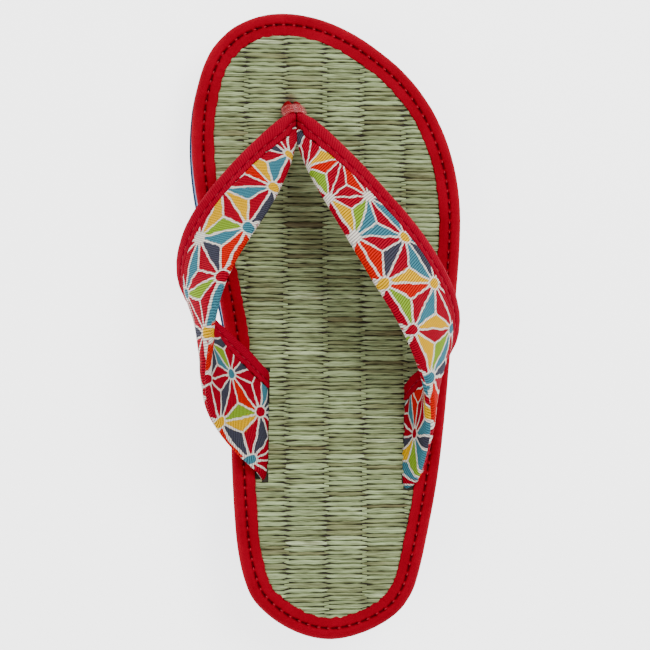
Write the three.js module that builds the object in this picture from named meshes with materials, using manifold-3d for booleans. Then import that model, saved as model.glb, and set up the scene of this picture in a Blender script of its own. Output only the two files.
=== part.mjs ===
// Right-foot zori sandal: soft wedge sole, rush mat with a bound edge, padded cloth straps.
// Millimetres. +X points to the little-toe side, +Y to the toe tip, +Z up.
// The origin is on the ground, at the middle of the flat pad under the heel.
import * as THREE from "three";
import Module from "manifold-3d";
import { mergeVertices } from "three/addons/utils/BufferGeometryUtils.js";

// Whole shoe
const SOLE_LENGTH = 240;
const SOLE_WIDTH = 104;
const FIT = 0.3;
const HEEL_PAD_ALONG = 0.205;

// Sole
const HEEL_STACK = 24;
const BALL_STACK = 15;
const WEDGE_FROM = 0.17;
const WEDGE_TO = 0.68;
const TOE_LIFT_FROM = 0.8;
const TOE_LIFT = 5;
const TOE_TOP_LIFT = 3;
const ARCH_FROM = 0.32;
const ARCH_TO = 0.54;
const ARCH_RISE = 2.6;
const OUTSOLE_DEPTH = 4.2;
const OUTSOLE_INSET = 0.4;
const MIDSOLE_INSET = 1.1;
const MEDIAL_FLARE = 1.5;
const SOLE_EDGE_ROUND = 0.8;
const CORE_INSET = 12.5;
const CORE_DRAW = 0.45;
const TREAD_GROOVE_WIDTH = 3;
const TREAD_GROOVE_DEPTH = 1.4;

// Rush mat and the tape round its edge
const MAT_DEPTH = 4.3;
const MAT_MARGIN_TOP = 3.2;
const MAT_MARGIN_BASE = 1.3;
const MAT_EDGE_INSET = 1.6;
const EDGE_TAPE_REACH = 8.6;
const EDGE_TAPE_DEPTH = 4.6;

// Straps
const STRAP_RISE = 38;
const STRAP_DEPTH = 5.6;
const STRAP_TOE_DEPTH = 4.6;
const STRAP_FOOT_DEPTH = 4;
const STRAP_TAPE_REACH = 6.2;
const STRAP_TAPE_DEPTH = 4.2;
const STRAP_TONGUE_DEPTH = 1.7;
const STRAP_SEAM_ACROSS = -0.139;
const SLOT_WIDTH = 6;
const SLOT_DEPTH = 10;
const SLOT_END_SPARE = 0.8;

// Thong between the toes
const POST_WIDTH = 7.2;
const POST_DEPTH = 5.8;
const POST_CLEFT = 0.9;
const POST_REACH = 0.93;
const SLEEVE_FROM = 0.2;
const SLEEVE_TO = 0.84;
const SLEEVE_WALL = 0.8;
const TOE_HOLE_DIAMETER = 10.8;
const TOE_HOLE_DEPTH = 9;

// Counts
const AROUND = 70;
const STRAP_SLICES = 29;
const POST_AROUND = 14;

const RED = 0xb01024;
const BLUE = 0x1f4a72;
const NAVY = 0x10304c;
const RUSH = 0xa9b08a;
const PRINT = 0xb5322c;
const CLEAR = 0xe8c9cc;

// Edge of the sole seen from above: along is a share of the length from the heel,
// medial and lateral are shares of the width from the middle line.
const OUTLINE = [
  { along: 1.0, medial: -0.176, lateral: -0.176 },
  { along: 0.98, medial: -0.351, lateral: 0.033 },
  { along: 0.961, medial: -0.406, lateral: 0.118 },
  { along: 0.942, medial: -0.443, lateral: 0.183 },
  { along: 0.923, medial: -0.466, lateral: 0.24 },
  { along: 0.904, medial: -0.483, lateral: 0.287 },
  { along: 0.885, medial: -0.495, lateral: 0.326 },
  { along: 0.865, medial: -0.505, lateral: 0.36 },
  { along: 0.846, medial: -0.512, lateral: 0.388 },
  { along: 0.808, medial: -0.518, lateral: 0.43 },
  { along: 0.77, medial: -0.517, lateral: 0.459 },
  { along: 0.732, medial: -0.509, lateral: 0.478 },
  { along: 0.693, medial: -0.495, lateral: 0.488 },
  { along: 0.654, medial: -0.475, lateral: 0.489 },
  { along: 0.606, medial: -0.448, lateral: 0.483 },
  { along: 0.534, medial: -0.412, lateral: 0.467 },
  { along: 0.455, medial: -0.386, lateral: 0.445 },
  { along: 0.359, medial: -0.375, lateral: 0.421 },
  { along: 0.263, medial: -0.369, lateral: 0.392 },
  { along: 0.168, medial: -0.356, lateral: 0.351 },
  { along: 0.12, medial: -0.339, lateral: 0.327 },
  { along: 0.082, medial: -0.313, lateral: 0.302 },
  { along: 0.063, medial: -0.289, lateral: 0.28 },
  { along: 0.044, medial: -0.248, lateral: 0.246 },
  { along: 0.025, medial: -0.19, lateral: 0.187 },
  { along: 0.005, medial: -0.087, lateral: 0.075 },
  { along: 0.0, medial: -0.007, lateral: -0.007 },
];

// Tape round the mat: inward is a share of its reach, up a share of its depth.
// Each row pairs a point of the outer face with the point of the inner face under it.
const EDGE_TAPE = [
  { inward: 1.0, up: 0.955, innerInward: 1.0, innerUp: 0.76 },
  { inward: 0.8, up: 1.0, innerInward: 0.8, innerUp: 0.775 },
  { inward: 0.56, up: 0.95, innerInward: 0.56, innerUp: 0.765 },
  { inward: 0.42, up: 1.0, innerInward: 0.43, innerUp: 0.765 },
  { inward: 0.13, up: 0.88, innerInward: 0.22, innerUp: 0.7 },
  { inward: 0.0, up: 0.5, innerInward: 0.125, innerUp: 0.48 },
  { inward: 0.11, up: 0.13, innerInward: 0.21, innerUp: 0.27 },
  { inward: 0.36, up: 0.0, innerInward: 0.38, innerUp: 0.205 },
  { inward: 0.86, up: 0.0, innerInward: 0.86, innerUp: 0.205 },
];

// Padded width of a strap: across is a share of that width from the folded edge,
// half a share of half the strap depth.
const PADDING = [
  { across: 0.05, half: 0.6 },
  { across: 0.17, half: 0.92 },
  { across: 0.46, half: 1.0 },
  { across: 0.8, half: 0.94 },
  { across: 1.0, half: 0.78 },
];

// Tape round the front edge of a strap: inward is a share of its reach,
// half a share of half its depth.
const STRAP_TAPE = [
  { inward: 1.0, half: 0.98, innerInward: 1.0, innerHalf: 0.62 },
  { inward: 0.7, half: 0.9, innerInward: 0.7, innerHalf: 0.59 },
  { inward: 0.48, half: 1.0, innerInward: 0.5, innerHalf: 0.58 },
  { inward: 0.13, half: 0.8, innerInward: 0.25, innerHalf: 0.5 },
  { inward: 0.0, half: 0.22, innerInward: 0.17, innerHalf: 0.16 },
];

// Both edges of each strap from the toe to below the mat. Along and across are shares of
// the length and width, rise a share of the strap rise above the mat.
const MEDIAL_STRAP = [
  { pipeAlong: 0.832, pipeAcross: -0.15, pipeRise: 0.38, foldAlong: 0.816, foldAcross: -0.138, foldRise: 0.21 },
  { pipeAlong: 0.824, pipeAcross: -0.192, pipeRise: 0.43, foldAlong: 0.796, foldAcross: -0.141, foldRise: 0.34 },
  { pipeAlong: 0.811, pipeAcross: -0.23, pipeRise: 0.46, foldAlong: 0.776, foldAcross: -0.147, foldRise: 0.45 },
  { pipeAlong: 0.775, pipeAcross: -0.317, pipeRise: 0.49, foldAlong: 0.748, foldAcross: -0.164, foldRise: 0.54 },
  { pipeAlong: 0.738, pipeAcross: -0.396, pipeRise: 0.51, foldAlong: 0.715, foldAcross: -0.197, foldRise: 0.63 },
  { pipeAlong: 0.7, pipeAcross: -0.467, pipeRise: 0.51, foldAlong: 0.68, foldAcross: -0.241, foldRise: 0.73 },
  { pipeAlong: 0.664, pipeAcross: -0.521, pipeRise: 0.48, foldAlong: 0.642, foldAcross: -0.3, foldRise: 0.84 },
  { pipeAlong: 0.628, pipeAcross: -0.553, pipeRise: 0.41, foldAlong: 0.602, foldAcross: -0.36, foldRise: 0.94 },
  { pipeAlong: 0.592, pipeAcross: -0.563, pipeRise: 0.33, foldAlong: 0.559, foldAcross: -0.409, foldRise: 0.99 },
  { pipeAlong: 0.56, pipeAcross: -0.545, pipeRise: 0.26, foldAlong: 0.512, foldAcross: -0.441, foldRise: 0.97 },
  { pipeAlong: 0.532, pipeAcross: -0.498, pipeRise: 0.21, foldAlong: 0.462, foldAcross: -0.461, foldRise: 0.86 },
  { pipeAlong: 0.506, pipeAcross: -0.434, pipeRise: 0.18, foldAlong: 0.411, foldAcross: -0.469, foldRise: 0.68 },
  { pipeAlong: 0.479, pipeAcross: -0.361, pipeRise: 0.14, foldAlong: 0.361, foldAcross: -0.451, foldRise: 0.46 },
  { pipeAlong: 0.454, pipeAcross: -0.298, pipeRise: 0.09, foldAlong: 0.31, foldAcross: -0.377, foldRise: 0.24 },
  { pipeAlong: 0.434, pipeAcross: -0.258, pipeRise: 0.02, foldAlong: 0.266, foldAcross: -0.277, foldRise: 0.06 },
  { pipeAlong: 0.426, pipeAcross: -0.246, pipeRise: -0.08, foldAlong: 0.25, foldAcross: -0.253, foldRise: -0.08 },
  { pipeAlong: 0.424, pipeAcross: -0.245, pipeRise: -0.24, foldAlong: 0.248, foldAcross: -0.248, foldRise: -0.24 },
];

const LATERAL_STRAP = [
  { pipeAlong: 0.832, pipeAcross: -0.128, pipeRise: 0.38, foldAlong: 0.816, foldAcross: -0.138, foldRise: 0.21 },
  { pipeAlong: 0.825, pipeAcross: -0.09, pipeRise: 0.43, foldAlong: 0.796, foldAcross: -0.137, foldRise: 0.34 },
  { pipeAlong: 0.811, pipeAcross: -0.047, pipeRise: 0.46, foldAlong: 0.773, foldAcross: -0.131, foldRise: 0.45 },
  { pipeAlong: 0.775, pipeAcross: 0.037, pipeRise: 0.51, foldAlong: 0.745, foldAcross: -0.109, foldRise: 0.56 },
  { pipeAlong: 0.738, pipeAcross: 0.117, pipeRise: 0.56, foldAlong: 0.715, foldAcross: -0.077, foldRise: 0.67 },
  { pipeAlong: 0.7, pipeAcross: 0.194, pipeRise: 0.59, foldAlong: 0.681, foldAcross: -0.035, foldRise: 0.78 },
  { pipeAlong: 0.663, pipeAcross: 0.268, pipeRise: 0.59, foldAlong: 0.641, foldAcross: 0.016, foldRise: 0.88 },
  { pipeAlong: 0.626, pipeAcross: 0.334, pipeRise: 0.54, foldAlong: 0.599, foldAcross: 0.07, foldRise: 0.96 },
  { pipeAlong: 0.588, pipeAcross: 0.39, pipeRise: 0.46, foldAlong: 0.557, foldAcross: 0.127, foldRise: 1.0 },
  { pipeAlong: 0.551, pipeAcross: 0.432, pipeRise: 0.37, foldAlong: 0.516, foldAcross: 0.186, foldRise: 0.99 },
  { pipeAlong: 0.514, pipeAcross: 0.452, pipeRise: 0.28, foldAlong: 0.476, foldAcross: 0.238, foldRise: 0.93 },
  { pipeAlong: 0.481, pipeAcross: 0.443, pipeRise: 0.22, foldAlong: 0.437, foldAcross: 0.28, foldRise: 0.83 },
  { pipeAlong: 0.453, pipeAcross: 0.403, pipeRise: 0.17, foldAlong: 0.397, foldAcross: 0.315, foldRise: 0.69 },
  { pipeAlong: 0.434, pipeAcross: 0.343, pipeRise: 0.13, foldAlong: 0.355, foldAcross: 0.335, foldRise: 0.5 },
  { pipeAlong: 0.42, pipeAcross: 0.299, pipeRise: 0.08, foldAlong: 0.305, foldAcross: 0.328, foldRise: 0.29 },
  { pipeAlong: 0.411, pipeAcross: 0.288, pipeRise: 0.01, foldAlong: 0.257, foldAcross: 0.284, foldRise: 0.08 },
  { pipeAlong: 0.408, pipeAcross: 0.285, pipeRise: -0.08, foldAlong: 0.241, foldAcross: 0.254, foldRise: -0.08 },
  { pipeAlong: 0.407, pipeAcross: 0.284, pipeRise: -0.24, foldAlong: 0.238, foldAcross: 0.25, foldRise: -0.24 },
];

// Middle line of the thong, from inside the hole to the point of the straps.
const POST_LINE = [
  { along: 0.847, across: -0.15, rise: -0.2 },
  { along: 0.846, across: -0.149, rise: 0.0 },
  { along: 0.842, across: -0.147, rise: 0.13 },
  { along: 0.833, across: -0.143, rise: 0.26 },
  { along: 0.82, across: -0.139, rise: 0.36 },
];

// Middles of the tread grooves, as shares of the length.
const TREAD_GROOVES = [0.1, 0.17, 0.24, 0.6, 0.66, 0.72, 0.78];

const wasm = await Module();
wasm.setup();

// Small helpers

function smoothStep(from, to, value) {
  return THREE.MathUtils.smoothstep(value, from, to);
}

function groundAt(y) {
  const along = THREE.MathUtils.clamp(y / SOLE_LENGTH, 0, 1);
  const lift = Math.max(0, along - TOE_LIFT_FROM) / (1 - TOE_LIFT_FROM);
  const arch = Math.max(0, (along - ARCH_FROM) * (ARCH_TO - along));
  const span = (ARCH_TO - ARCH_FROM) / 2;
  return TOE_LIFT * lift * lift + ARCH_RISE * smoothStep(0, span * span, arch);
}

function soleTopAt(y) {
  const along = THREE.MathUtils.clamp(y / SOLE_LENGTH, 0, 1);
  const lift = Math.max(0, along - TOE_LIFT_FROM) / (1 - TOE_LIFT_FROM);
  const wedge = (BALL_STACK - HEEL_STACK) * smoothStep(WEDGE_FROM, WEDGE_TO, along);
  return HEEL_STACK + wedge + TOE_TOP_LIFT * lift * lift;
}

function matBaseAt(y) {
  return soleTopAt(y) + FIT;
}

function matTopAt(y) {
  return matBaseAt(y) + MAT_DEPTH;
}

// A closed surface as a solid, turned to face outward.
function solidFrom(positions, index) {
  let volume = 0;
  const at = (i) => new THREE.Vector3().fromArray(positions, i * 3);
  for (let i = 0; i < index.length; i += 3) {
    const cross = at(index[i + 1]).cross(at(index[i + 2]));
    volume += at(index[i]).dot(cross);
  }
  if (volume < 0) {
    for (let i = 0; i < index.length; i += 3) {
      const held = index[i + 1];
      index[i + 1] = index[i + 2];
      index[i + 2] = held;
    }
  }
  const geometry = new THREE.BufferGeometry();
  geometry.setAttribute("position", new THREE.Float32BufferAttribute(positions, 3));
  geometry.setIndex(index);
  return solidOf(geometry);
}

function solidOf(geometry) {
  const bare = new THREE.BufferGeometry();
  bare.setAttribute("position", geometry.getAttribute("position"));
  bare.setIndex(geometry.index);
  const merged = mergeVertices(bare, 1e-4);
  const mesh = new wasm.Mesh({
    numProp: 3,
    vertProperties: new Float32Array(merged.getAttribute("position").array),
    triVerts: new Uint32Array(merged.index.array),
  });
  return new wasm.Manifold(mesh);
}

// The shapes are worked out with the heel end at Y = 0, then moved to the heel pad.
function meshOf(name, solid, color) {
  const made = solid.translate([0, -HEEL_PAD_ALONG * SOLE_LENGTH, 0]).getMesh();
  const geometry = new THREE.BufferGeometry();
  const stride = made.numProp;
  const positions = new Float32Array(made.numVert * 3);
  for (let i = 0; i < made.numVert; i++) {
    positions.set(made.vertProperties.subarray(i * stride, i * stride + 3), i * 3);
  }
  geometry.setAttribute("position", new THREE.BufferAttribute(positions, 3));
  geometry.setIndex(new THREE.BufferAttribute(new Uint32Array(made.triVerts), 1));
  geometry.computeVertexNormals();
  const mesh = new THREE.Mesh(geometry, new THREE.MeshStandardMaterial({ color }));
  mesh.name = name;
  return mesh;
}

// Rings of equal length joined in order. The ends are closed by pairing each point with
// its partner across the ring, or the last ring is joined to the first.
function ringBody(rings, ends) {
  const count = rings[0].length;
  const positions = [];
  const index = [];
  for (const ring of rings) {
    for (const point of ring) {
      positions.push(point.x, point.y, point.z);
    }
  }
  const steps = ends === "joined" ? rings.length : rings.length - 1;
  for (let r = 0; r < steps; r++) {
    const next = (r + 1) % rings.length;
    for (let i = 0; i < count; i++) {
      const j = (i + 1) % count;
      const a = r * count + i;
      const b = r * count + j;
      const c = next * count + j;
      const d = next * count + i;
      index.push(a, b, c, a, c, d);
    }
  }
  if (ends !== "joined") {
    const last = (rings.length - 1) * count;
    for (const [a, b, c] of endFaces(count, ends)) {
      index.push(a, c, b);
      index.push(last + a, last + b, last + c);
    }
  }
  return solidFrom(positions, index);
}

// Triangles across one ring. "tips" has single points at both ends of the ring,
// "strip" pairs the first half of the ring with the second.
function endFaces(count, ends) {
  const faces = [];
  const shift = ends === "tips" ? 0 : 1;
  const half = Math.floor(count / 2);
  const partner = (i) => (count - i - shift) % count;
  const from = ends === "tips" ? 1 : 0;
  if (ends === "tips") {
    faces.push([0, 1, partner(1)]);
    faces.push([half - 1, half, partner(half - 1)]);
  }
  for (let i = from; i < half - 1; i++) {
    faces.push([i, i + 1, partner(i + 1)]);
    faces.push([i, partner(i + 1), partner(i)]);
  }
  return faces;
}

// Sole outline

function outlineAngle(along) {
  return Math.acos(THREE.MathUtils.clamp(2 * along - 1, -1, 1));
}

function outlineKnots() {
  const medial = OUTLINE.map((row) => ({ angle: outlineAngle(row.along), across: row.medial }));
  const lateral = OUTLINE.slice(1, -1).map((row) => ({
    angle: 2 * Math.PI - outlineAngle(row.along),
    across: row.lateral,
  }));
  return [...medial, ...lateral.reverse()];
}

const KNOTS = outlineKnots();

function knotAt(i) {
  const turns = Math.floor(i / KNOTS.length);
  const knot = KNOTS[i - turns * KNOTS.length];
  return { angle: knot.angle + turns * 2 * Math.PI, across: knot.across };
}

function knotSlope(i) {
  const before = knotAt(i - 1);
  const after = knotAt(i + 1);
  return (after.across - before.across) / (after.angle - before.angle);
}

function acrossAt(angle) {
  let i = 0;
  while (knotAt(i + 1).angle <= angle) {
    i++;
  }
  const a = knotAt(i);
  const b = knotAt(i + 1);
  const span = b.angle - a.angle;
  const t = (angle - a.angle) / span;
  const t2 = t * t;
  const t3 = t2 * t;
  const held = (2 * t3 - 3 * t2 + 1) * a.across + (3 * t2 - 2 * t3) * b.across;
  const swing = (t3 - 2 * t2 + t) * knotSlope(i) + (t3 - t2) * knotSlope(i + 1);
  return held + swing * span;
}

const EDGE = Array.from({ length: AROUND }, (_, k) => {
  const angle = (2 * Math.PI * k) / AROUND;
  return new THREE.Vector2(
    acrossAt(angle) * SOLE_WIDTH,
    ((1 + Math.cos(angle)) / 2) * SOLE_LENGTH,
  );
});

const INWARD = EDGE.map((_, k) => {
  const before = EDGE[(k + AROUND - 1) % AROUND];
  const after = EDGE[(k + 1) % AROUND];
  const run = after.clone().sub(before).normalize();
  return new THREE.Vector2(-run.y, run.x);
});

// One ring of the sole: moved inward from the edge, then drawn toward the middle line.
function soleRing(inset, draw, heightAt, flare = 0) {
  return EDGE.map((edge, k) => {
    const partner = (AROUND - k) % AROUND;
    const medial = Math.max(0, Math.sin((2 * Math.PI * k) / AROUND));
    const flat = edge.clone().addScaledVector(INWARD[k], inset - flare * medial);
    const other = EDGE[partner].clone().addScaledVector(INWARD[partner], inset);
    flat.lerp(flat.clone().add(other).multiplyScalar(0.5), draw);
    return new THREE.Vector3(flat.x, flat.y, heightAt(flat.y));
  });
}

function outsoleBody() {
  const top = (y) => groundAt(y) + OUTSOLE_DEPTH;
  const lifted = (y) => groundAt(y) + SOLE_EDGE_ROUND;
  const side = OUTSOLE_INSET;
  const rings = [
    soleRing(CORE_INSET, CORE_DRAW, groundAt),
    soleRing(side + SOLE_EDGE_ROUND, 0, groundAt, MEDIAL_FLARE),
    soleRing(side, 0, lifted, MEDIAL_FLARE),
    soleRing(side, 0, top, MEDIAL_FLARE),
    soleRing(CORE_INSET, CORE_DRAW, top),
  ];
  let body = ringBody(rings, "tips");
  for (const along of TREAD_GROOVES) {
    const groove = new THREE.BoxGeometry(SOLE_WIDTH * 2, TREAD_GROOVE_WIDTH, TREAD_GROOVE_DEPTH * 2);
    groove.translate(0, along * SOLE_LENGTH, 0);
    body = body.subtract(solidOf(groove));
  }
  return body;
}

function midsoleBody() {
  const base = (y) => groundAt(y) + OUTSOLE_DEPTH + FIT;
  const low = (y) => THREE.MathUtils.lerp(base(y), soleTopAt(y), 0.12);
  const high = (y) => THREE.MathUtils.lerp(base(y), soleTopAt(y), 0.9);
  const rings = [
    soleRing(CORE_INSET, CORE_DRAW, base),
    soleRing(MIDSOLE_INSET + SOLE_EDGE_ROUND / 2, 0, base, MEDIAL_FLARE),
    soleRing(MIDSOLE_INSET, 0, low, MEDIAL_FLARE),
    soleRing(MIDSOLE_INSET, 0, high, MEDIAL_FLARE * 0.7),
    soleRing(MIDSOLE_INSET + SOLE_EDGE_ROUND, 0, soleTopAt),
    soleRing(CORE_INSET, CORE_DRAW, soleTopAt),
  ];
  return ringBody(rings, "tips");
}

function matBody() {
  const reach = EDGE_TAPE_REACH;
  const at = (up) => (y) => matBaseAt(y) + up;
  const middle = (MAT_MARGIN_BASE + MAT_MARGIN_TOP) / 2;
  const rings = [
    soleRing(CORE_INSET, CORE_DRAW, at(0)),
    soleRing(reach + FIT, 0, at(0)),
    soleRing(reach - FIT * 2, 0, at(MAT_MARGIN_BASE)),
    soleRing(MAT_EDGE_INSET * 1.25, 0, at(MAT_MARGIN_BASE * 1.08)),
    soleRing(MAT_EDGE_INSET, 0, at(middle)),
    soleRing(MAT_EDGE_INSET * 1.25, 0, at(MAT_MARGIN_TOP * 0.97)),
    soleRing(reach + FIT, 0, at(MAT_MARGIN_TOP)),
    soleRing(reach + FIT * 1.5, 0, at(MAT_DEPTH)),
    soleRing(CORE_INSET, CORE_DRAW, at(MAT_DEPTH)),
  ];
  return ringBody(rings, "tips");
}

function edgeBindingBody() {
  const outer = EDGE_TAPE.map((row) => [row.inward, row.up]);
  const inner = EDGE_TAPE.map((row) => [row.innerInward, row.innerUp]).reverse();
  const rings = [...outer, ...inner].map(([inward, up]) =>
    soleRing(inward * EDGE_TAPE_REACH, 0, (y) => matBaseAt(y) + up * EDGE_TAPE_DEPTH),
  );
  return ringBody(rings, "joined");
}

// Straps

function strapPoint(along, across, rise) {
  const y = along * SOLE_LENGTH;
  return new THREE.Vector3(across * SOLE_WIDTH, y, matTopAt(y) + rise * STRAP_RISE);
}

function strapFrames(rows, side) {
  const pipe = new THREE.CatmullRomCurve3(
    rows.map((row) => strapPoint(row.pipeAlong, row.pipeAcross, row.pipeRise)),
  );
  const fold = new THREE.CatmullRomCurve3(
    rows.map((row) => strapPoint(row.foldAlong, row.foldAcross, row.foldRise)),
  );
  const frames = [];
  for (let k = 0; k < STRAP_SLICES; k++) {
    const t = k / (STRAP_SLICES - 1);
    const edge = fold.getPoint(t);
    const span = pipe.getPoint(t).sub(edge);
    const run = pipe.getTangent(t).add(fold.getTangent(t)).normalize();
    const across = span.clone().normalize();
    const face = across.clone().cross(run).multiplyScalar(side).normalize();
    frames.push({ edge, across, face, width: span.length(), share: t });
  }
  return frames;
}

function strapDepth(share) {
  const full = THREE.MathUtils.lerp(STRAP_TOE_DEPTH, STRAP_DEPTH, smoothStep(0, 0.25, share));
  return THREE.MathUtils.lerp(full, STRAP_FOOT_DEPTH, smoothStep(0.7, 0.92, share));
}

function tapeReach(width) {
  return Math.min(STRAP_TAPE_REACH, width * 0.6);
}

function strapSlice(frame, outline) {
  return outline.map(([across, out]) =>
    frame.edge
      .clone()
      .addScaledVector(frame.across, across)
      .addScaledVector(frame.face, out),
  );
}

// Cross-section of the padded cloth, with a thin tongue that the tape folds round.
function paddingOutline(frame, grow) {
  const reach = tapeReach(frame.width);
  const padded = frame.width - reach - FIT;
  const half = strapDepth(frame.share) / 2;
  const tongue = STRAP_TONGUE_DEPTH / 2;
  const tip = frame.width - reach * 0.17 - FIT;
  const upper = PADDING.map((row) => [row.across * padded, row.half * half + grow]);
  upper.push([padded + FIT / 2, tongue + grow]);
  upper.push([tip - FIT, tongue * 0.8 + grow]);
  const lower = upper.map(([across, out]) => [across, -out]).reverse();
  return [[-grow, 0], ...upper, [tip, 0], ...lower];
}

function tapeFaces(frame, side) {
  const reach = tapeReach(frame.width);
  const half = STRAP_TAPE_DEPTH / 2;
  const outer = side === "outer";
  const upper = STRAP_TAPE.map((row) => [
    frame.width - (outer ? row.inward : row.innerInward) * reach,
    (outer ? row.half : row.innerHalf) * half,
  ]);
  const lower = upper.map(([across, out]) => [across, -out]).reverse();
  return [...upper, ...lower];
}

function strapBody(frames, grow) {
  return ringBody(frames.map((f) => strapSlice(f, paddingOutline(f, grow))), "tips");
}

function strapTapeBody(frames) {
  const slices = frames.map((f) =>
    strapSlice(f, [...tapeFaces(f, "outer"), ...tapeFaces(f, "inner").reverse()]),
  );
  return ringBody(slices, "strip");
}

// Room that the tape needs in its neighbours: its outer face, filled and grown.
function strapTapeRoom(frames, grow) {
  const slices = frames.map((f) => {
    const middle = f.width - tapeReach(f.width) / 2;
    const outline = tapeFaces(f, "outer").map(([across, out]) => [
      across + Math.sign(across - middle) * grow,
      out + Math.sign(out) * grow,
    ]);
    return strapSlice(f, outline);
  });
  return ringBody(slices, "strip");
}

// Half of space on one side of the plane where the two bands meet.
function sideOfSeam(side, gap) {
  const reach = SOLE_LENGTH * 2;
  const box = new THREE.BoxGeometry(reach, reach, reach);
  box.translate(STRAP_SEAM_ACROSS * SOLE_WIDTH + side * (gap + reach / 2), SOLE_LENGTH / 2, 0);
  return solidOf(box);
}

const MEDIAL_FRAMES = strapFrames(MEDIAL_STRAP, 1);
const LATERAL_FRAMES = strapFrames(LATERAL_STRAP, -1);

function strapUpperBody(grow) {
  const medial = strapBody(MEDIAL_FRAMES, grow).intersect(sideOfSeam(-1, -0.05 - grow));
  const lateral = strapBody(LATERAL_FRAMES, grow).intersect(sideOfSeam(1, -0.05 - grow));
  return medial.add(lateral);
}

function strapRoom(grow) {
  return strapUpperBody(grow)
    .add(strapTapeRoom(MEDIAL_FRAMES, grow))
    .add(strapTapeRoom(LATERAL_FRAMES, grow));
}

// Slot under the end of a band, through the mat and into the sole.
function slotRoom(rows) {
  const row = rows[rows.length - 1];
  const front = strapPoint(row.pipeAlong, row.pipeAcross, 0);
  const back = strapPoint(row.foldAlong, row.foldAcross, 0);
  const run = front.clone().sub(back);
  const length = Math.hypot(run.x, run.y) + SLOT_END_SPARE * 2;
  const slot = new THREE.BoxGeometry(SLOT_WIDTH, length, SLOT_DEPTH * 2);
  slot.rotateZ(-Math.atan2(run.x, run.y));
  const middle = front.add(back).multiplyScalar(0.5);
  slot.translate(middle.x, middle.y, middle.z - MAT_DEPTH);
  return solidOf(slot);
}

// Thong and sleeve

function postPath() {
  return new THREE.CatmullRomCurve3(
    POST_LINE.map((row) => strapPoint(row.along, row.across, row.rise)),
  );
}

function postRing(curve, t, grow, cleft) {
  const centre = curve.getPoint(t);
  const run = curve.getTangent(t);
  const wide = new THREE.Vector3(1, 0, 0);
  const deep = run.clone().cross(wide).normalize();
  return Array.from({ length: POST_AROUND }, (_, k) => {
    const angle = (2 * Math.PI * k) / POST_AROUND;
    const x = Math.sin(angle) * (POST_WIDTH / 2 + grow);
    const pinch = 1 - cleft * Math.exp(-((x / POST_CLEFT) ** 2));
    const y = Math.cos(angle) * (POST_DEPTH / 2 + grow) * pinch;
    return centre.clone().addScaledVector(wide, x).addScaledVector(deep, y);
  });
}

function postBody(from, to, grow, cleft) {
  const curve = postPath();
  const steps = 9;
  const rings = [];
  for (let k = 0; k <= steps; k++) {
    rings.push(postRing(curve, THREE.MathUtils.lerp(from, to, k / steps), grow, cleft));
  }
  return ringBody(rings, "tips");
}

function toeHoleRoom() {
  const centre = strapPoint(POST_LINE[1].along, POST_LINE[1].across, 0);
  const hole = new THREE.CylinderGeometry(
    TOE_HOLE_DIAMETER / 2,
    TOE_HOLE_DIAMETER / 2,
    TOE_HOLE_DEPTH * 2,
    28,
  );
  hole.rotateX(Math.PI / 2);
  hole.translate(centre.x, centre.y, centre.z - MAT_DEPTH);
  return solidOf(hole);
}

// The part of a solid that is left after a cut, without loose scraps past the cut.
function largestOf(solid) {
  const bodies = solid.decompose().sort((a, b) => b.volume() - a.volume());
  return bodies[0];
}

function toePostBody() {
  const cleft = POST_CLEFT / POST_DEPTH;
  return largestOf(postBody(0, POST_REACH, 0, cleft).subtract(strapRoom(FIT)));
}

function toeSleeveBody() {
  const outer = postBody(SLEEVE_FROM, SLEEVE_TO, FIT + SLEEVE_WALL, 0);
  const inner = postBody(SLEEVE_FROM / 2, (1 + SLEEVE_TO) / 2, FIT, 0);
  return largestOf(outer.subtract(inner).subtract(strapRoom(FIT)));
}

const sinks = slotRoom(MEDIAL_STRAP).add(slotRoom(LATERAL_STRAP)).add(toeHoleRoom());
const room = strapRoom(FIT);

const zori = new THREE.Group();
zori.name = "zori_right";
zori.add(meshOf("outsole", outsoleBody(), NAVY));
zori.add(meshOf("midsole", midsoleBody().subtract(sinks).subtract(room), BLUE));
zori.add(meshOf("tatami_insole", matBody().subtract(sinks).subtract(room), RUSH));
zori.add(meshOf("edge_binding", edgeBindingBody(), RED));
zori.add(meshOf("strap_upper", strapUpperBody(0), PRINT));
zori.add(
  meshOf(
    "strap_binding_medial",
    strapTapeBody(MEDIAL_FRAMES).intersect(sideOfSeam(-1, FIT / 2)),
    RED,
  ),
);
zori.add(
  meshOf(
    "strap_binding_lateral",
    strapTapeBody(LATERAL_FRAMES).intersect(sideOfSeam(1, FIT / 2)),
    RED,
  ),
);
zori.add(meshOf("toe_post", toePostBody(), RED));
zori.add(meshOf("toe_sleeve", toeSleeveBody(), CLEAR));

export default zori;
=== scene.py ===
"""Looks of a right-foot zori sandal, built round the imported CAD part.

The frame is the part's: metres, +X to the little-toe side, +Y to the toe, +Z up, with the
origin on the ground under the heel. Shapes are worked out in millimetres and stored in metres.
"""

import math

import bmesh
import bpy
import numpy as np
from mathutils import Matrix, Vector


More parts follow.
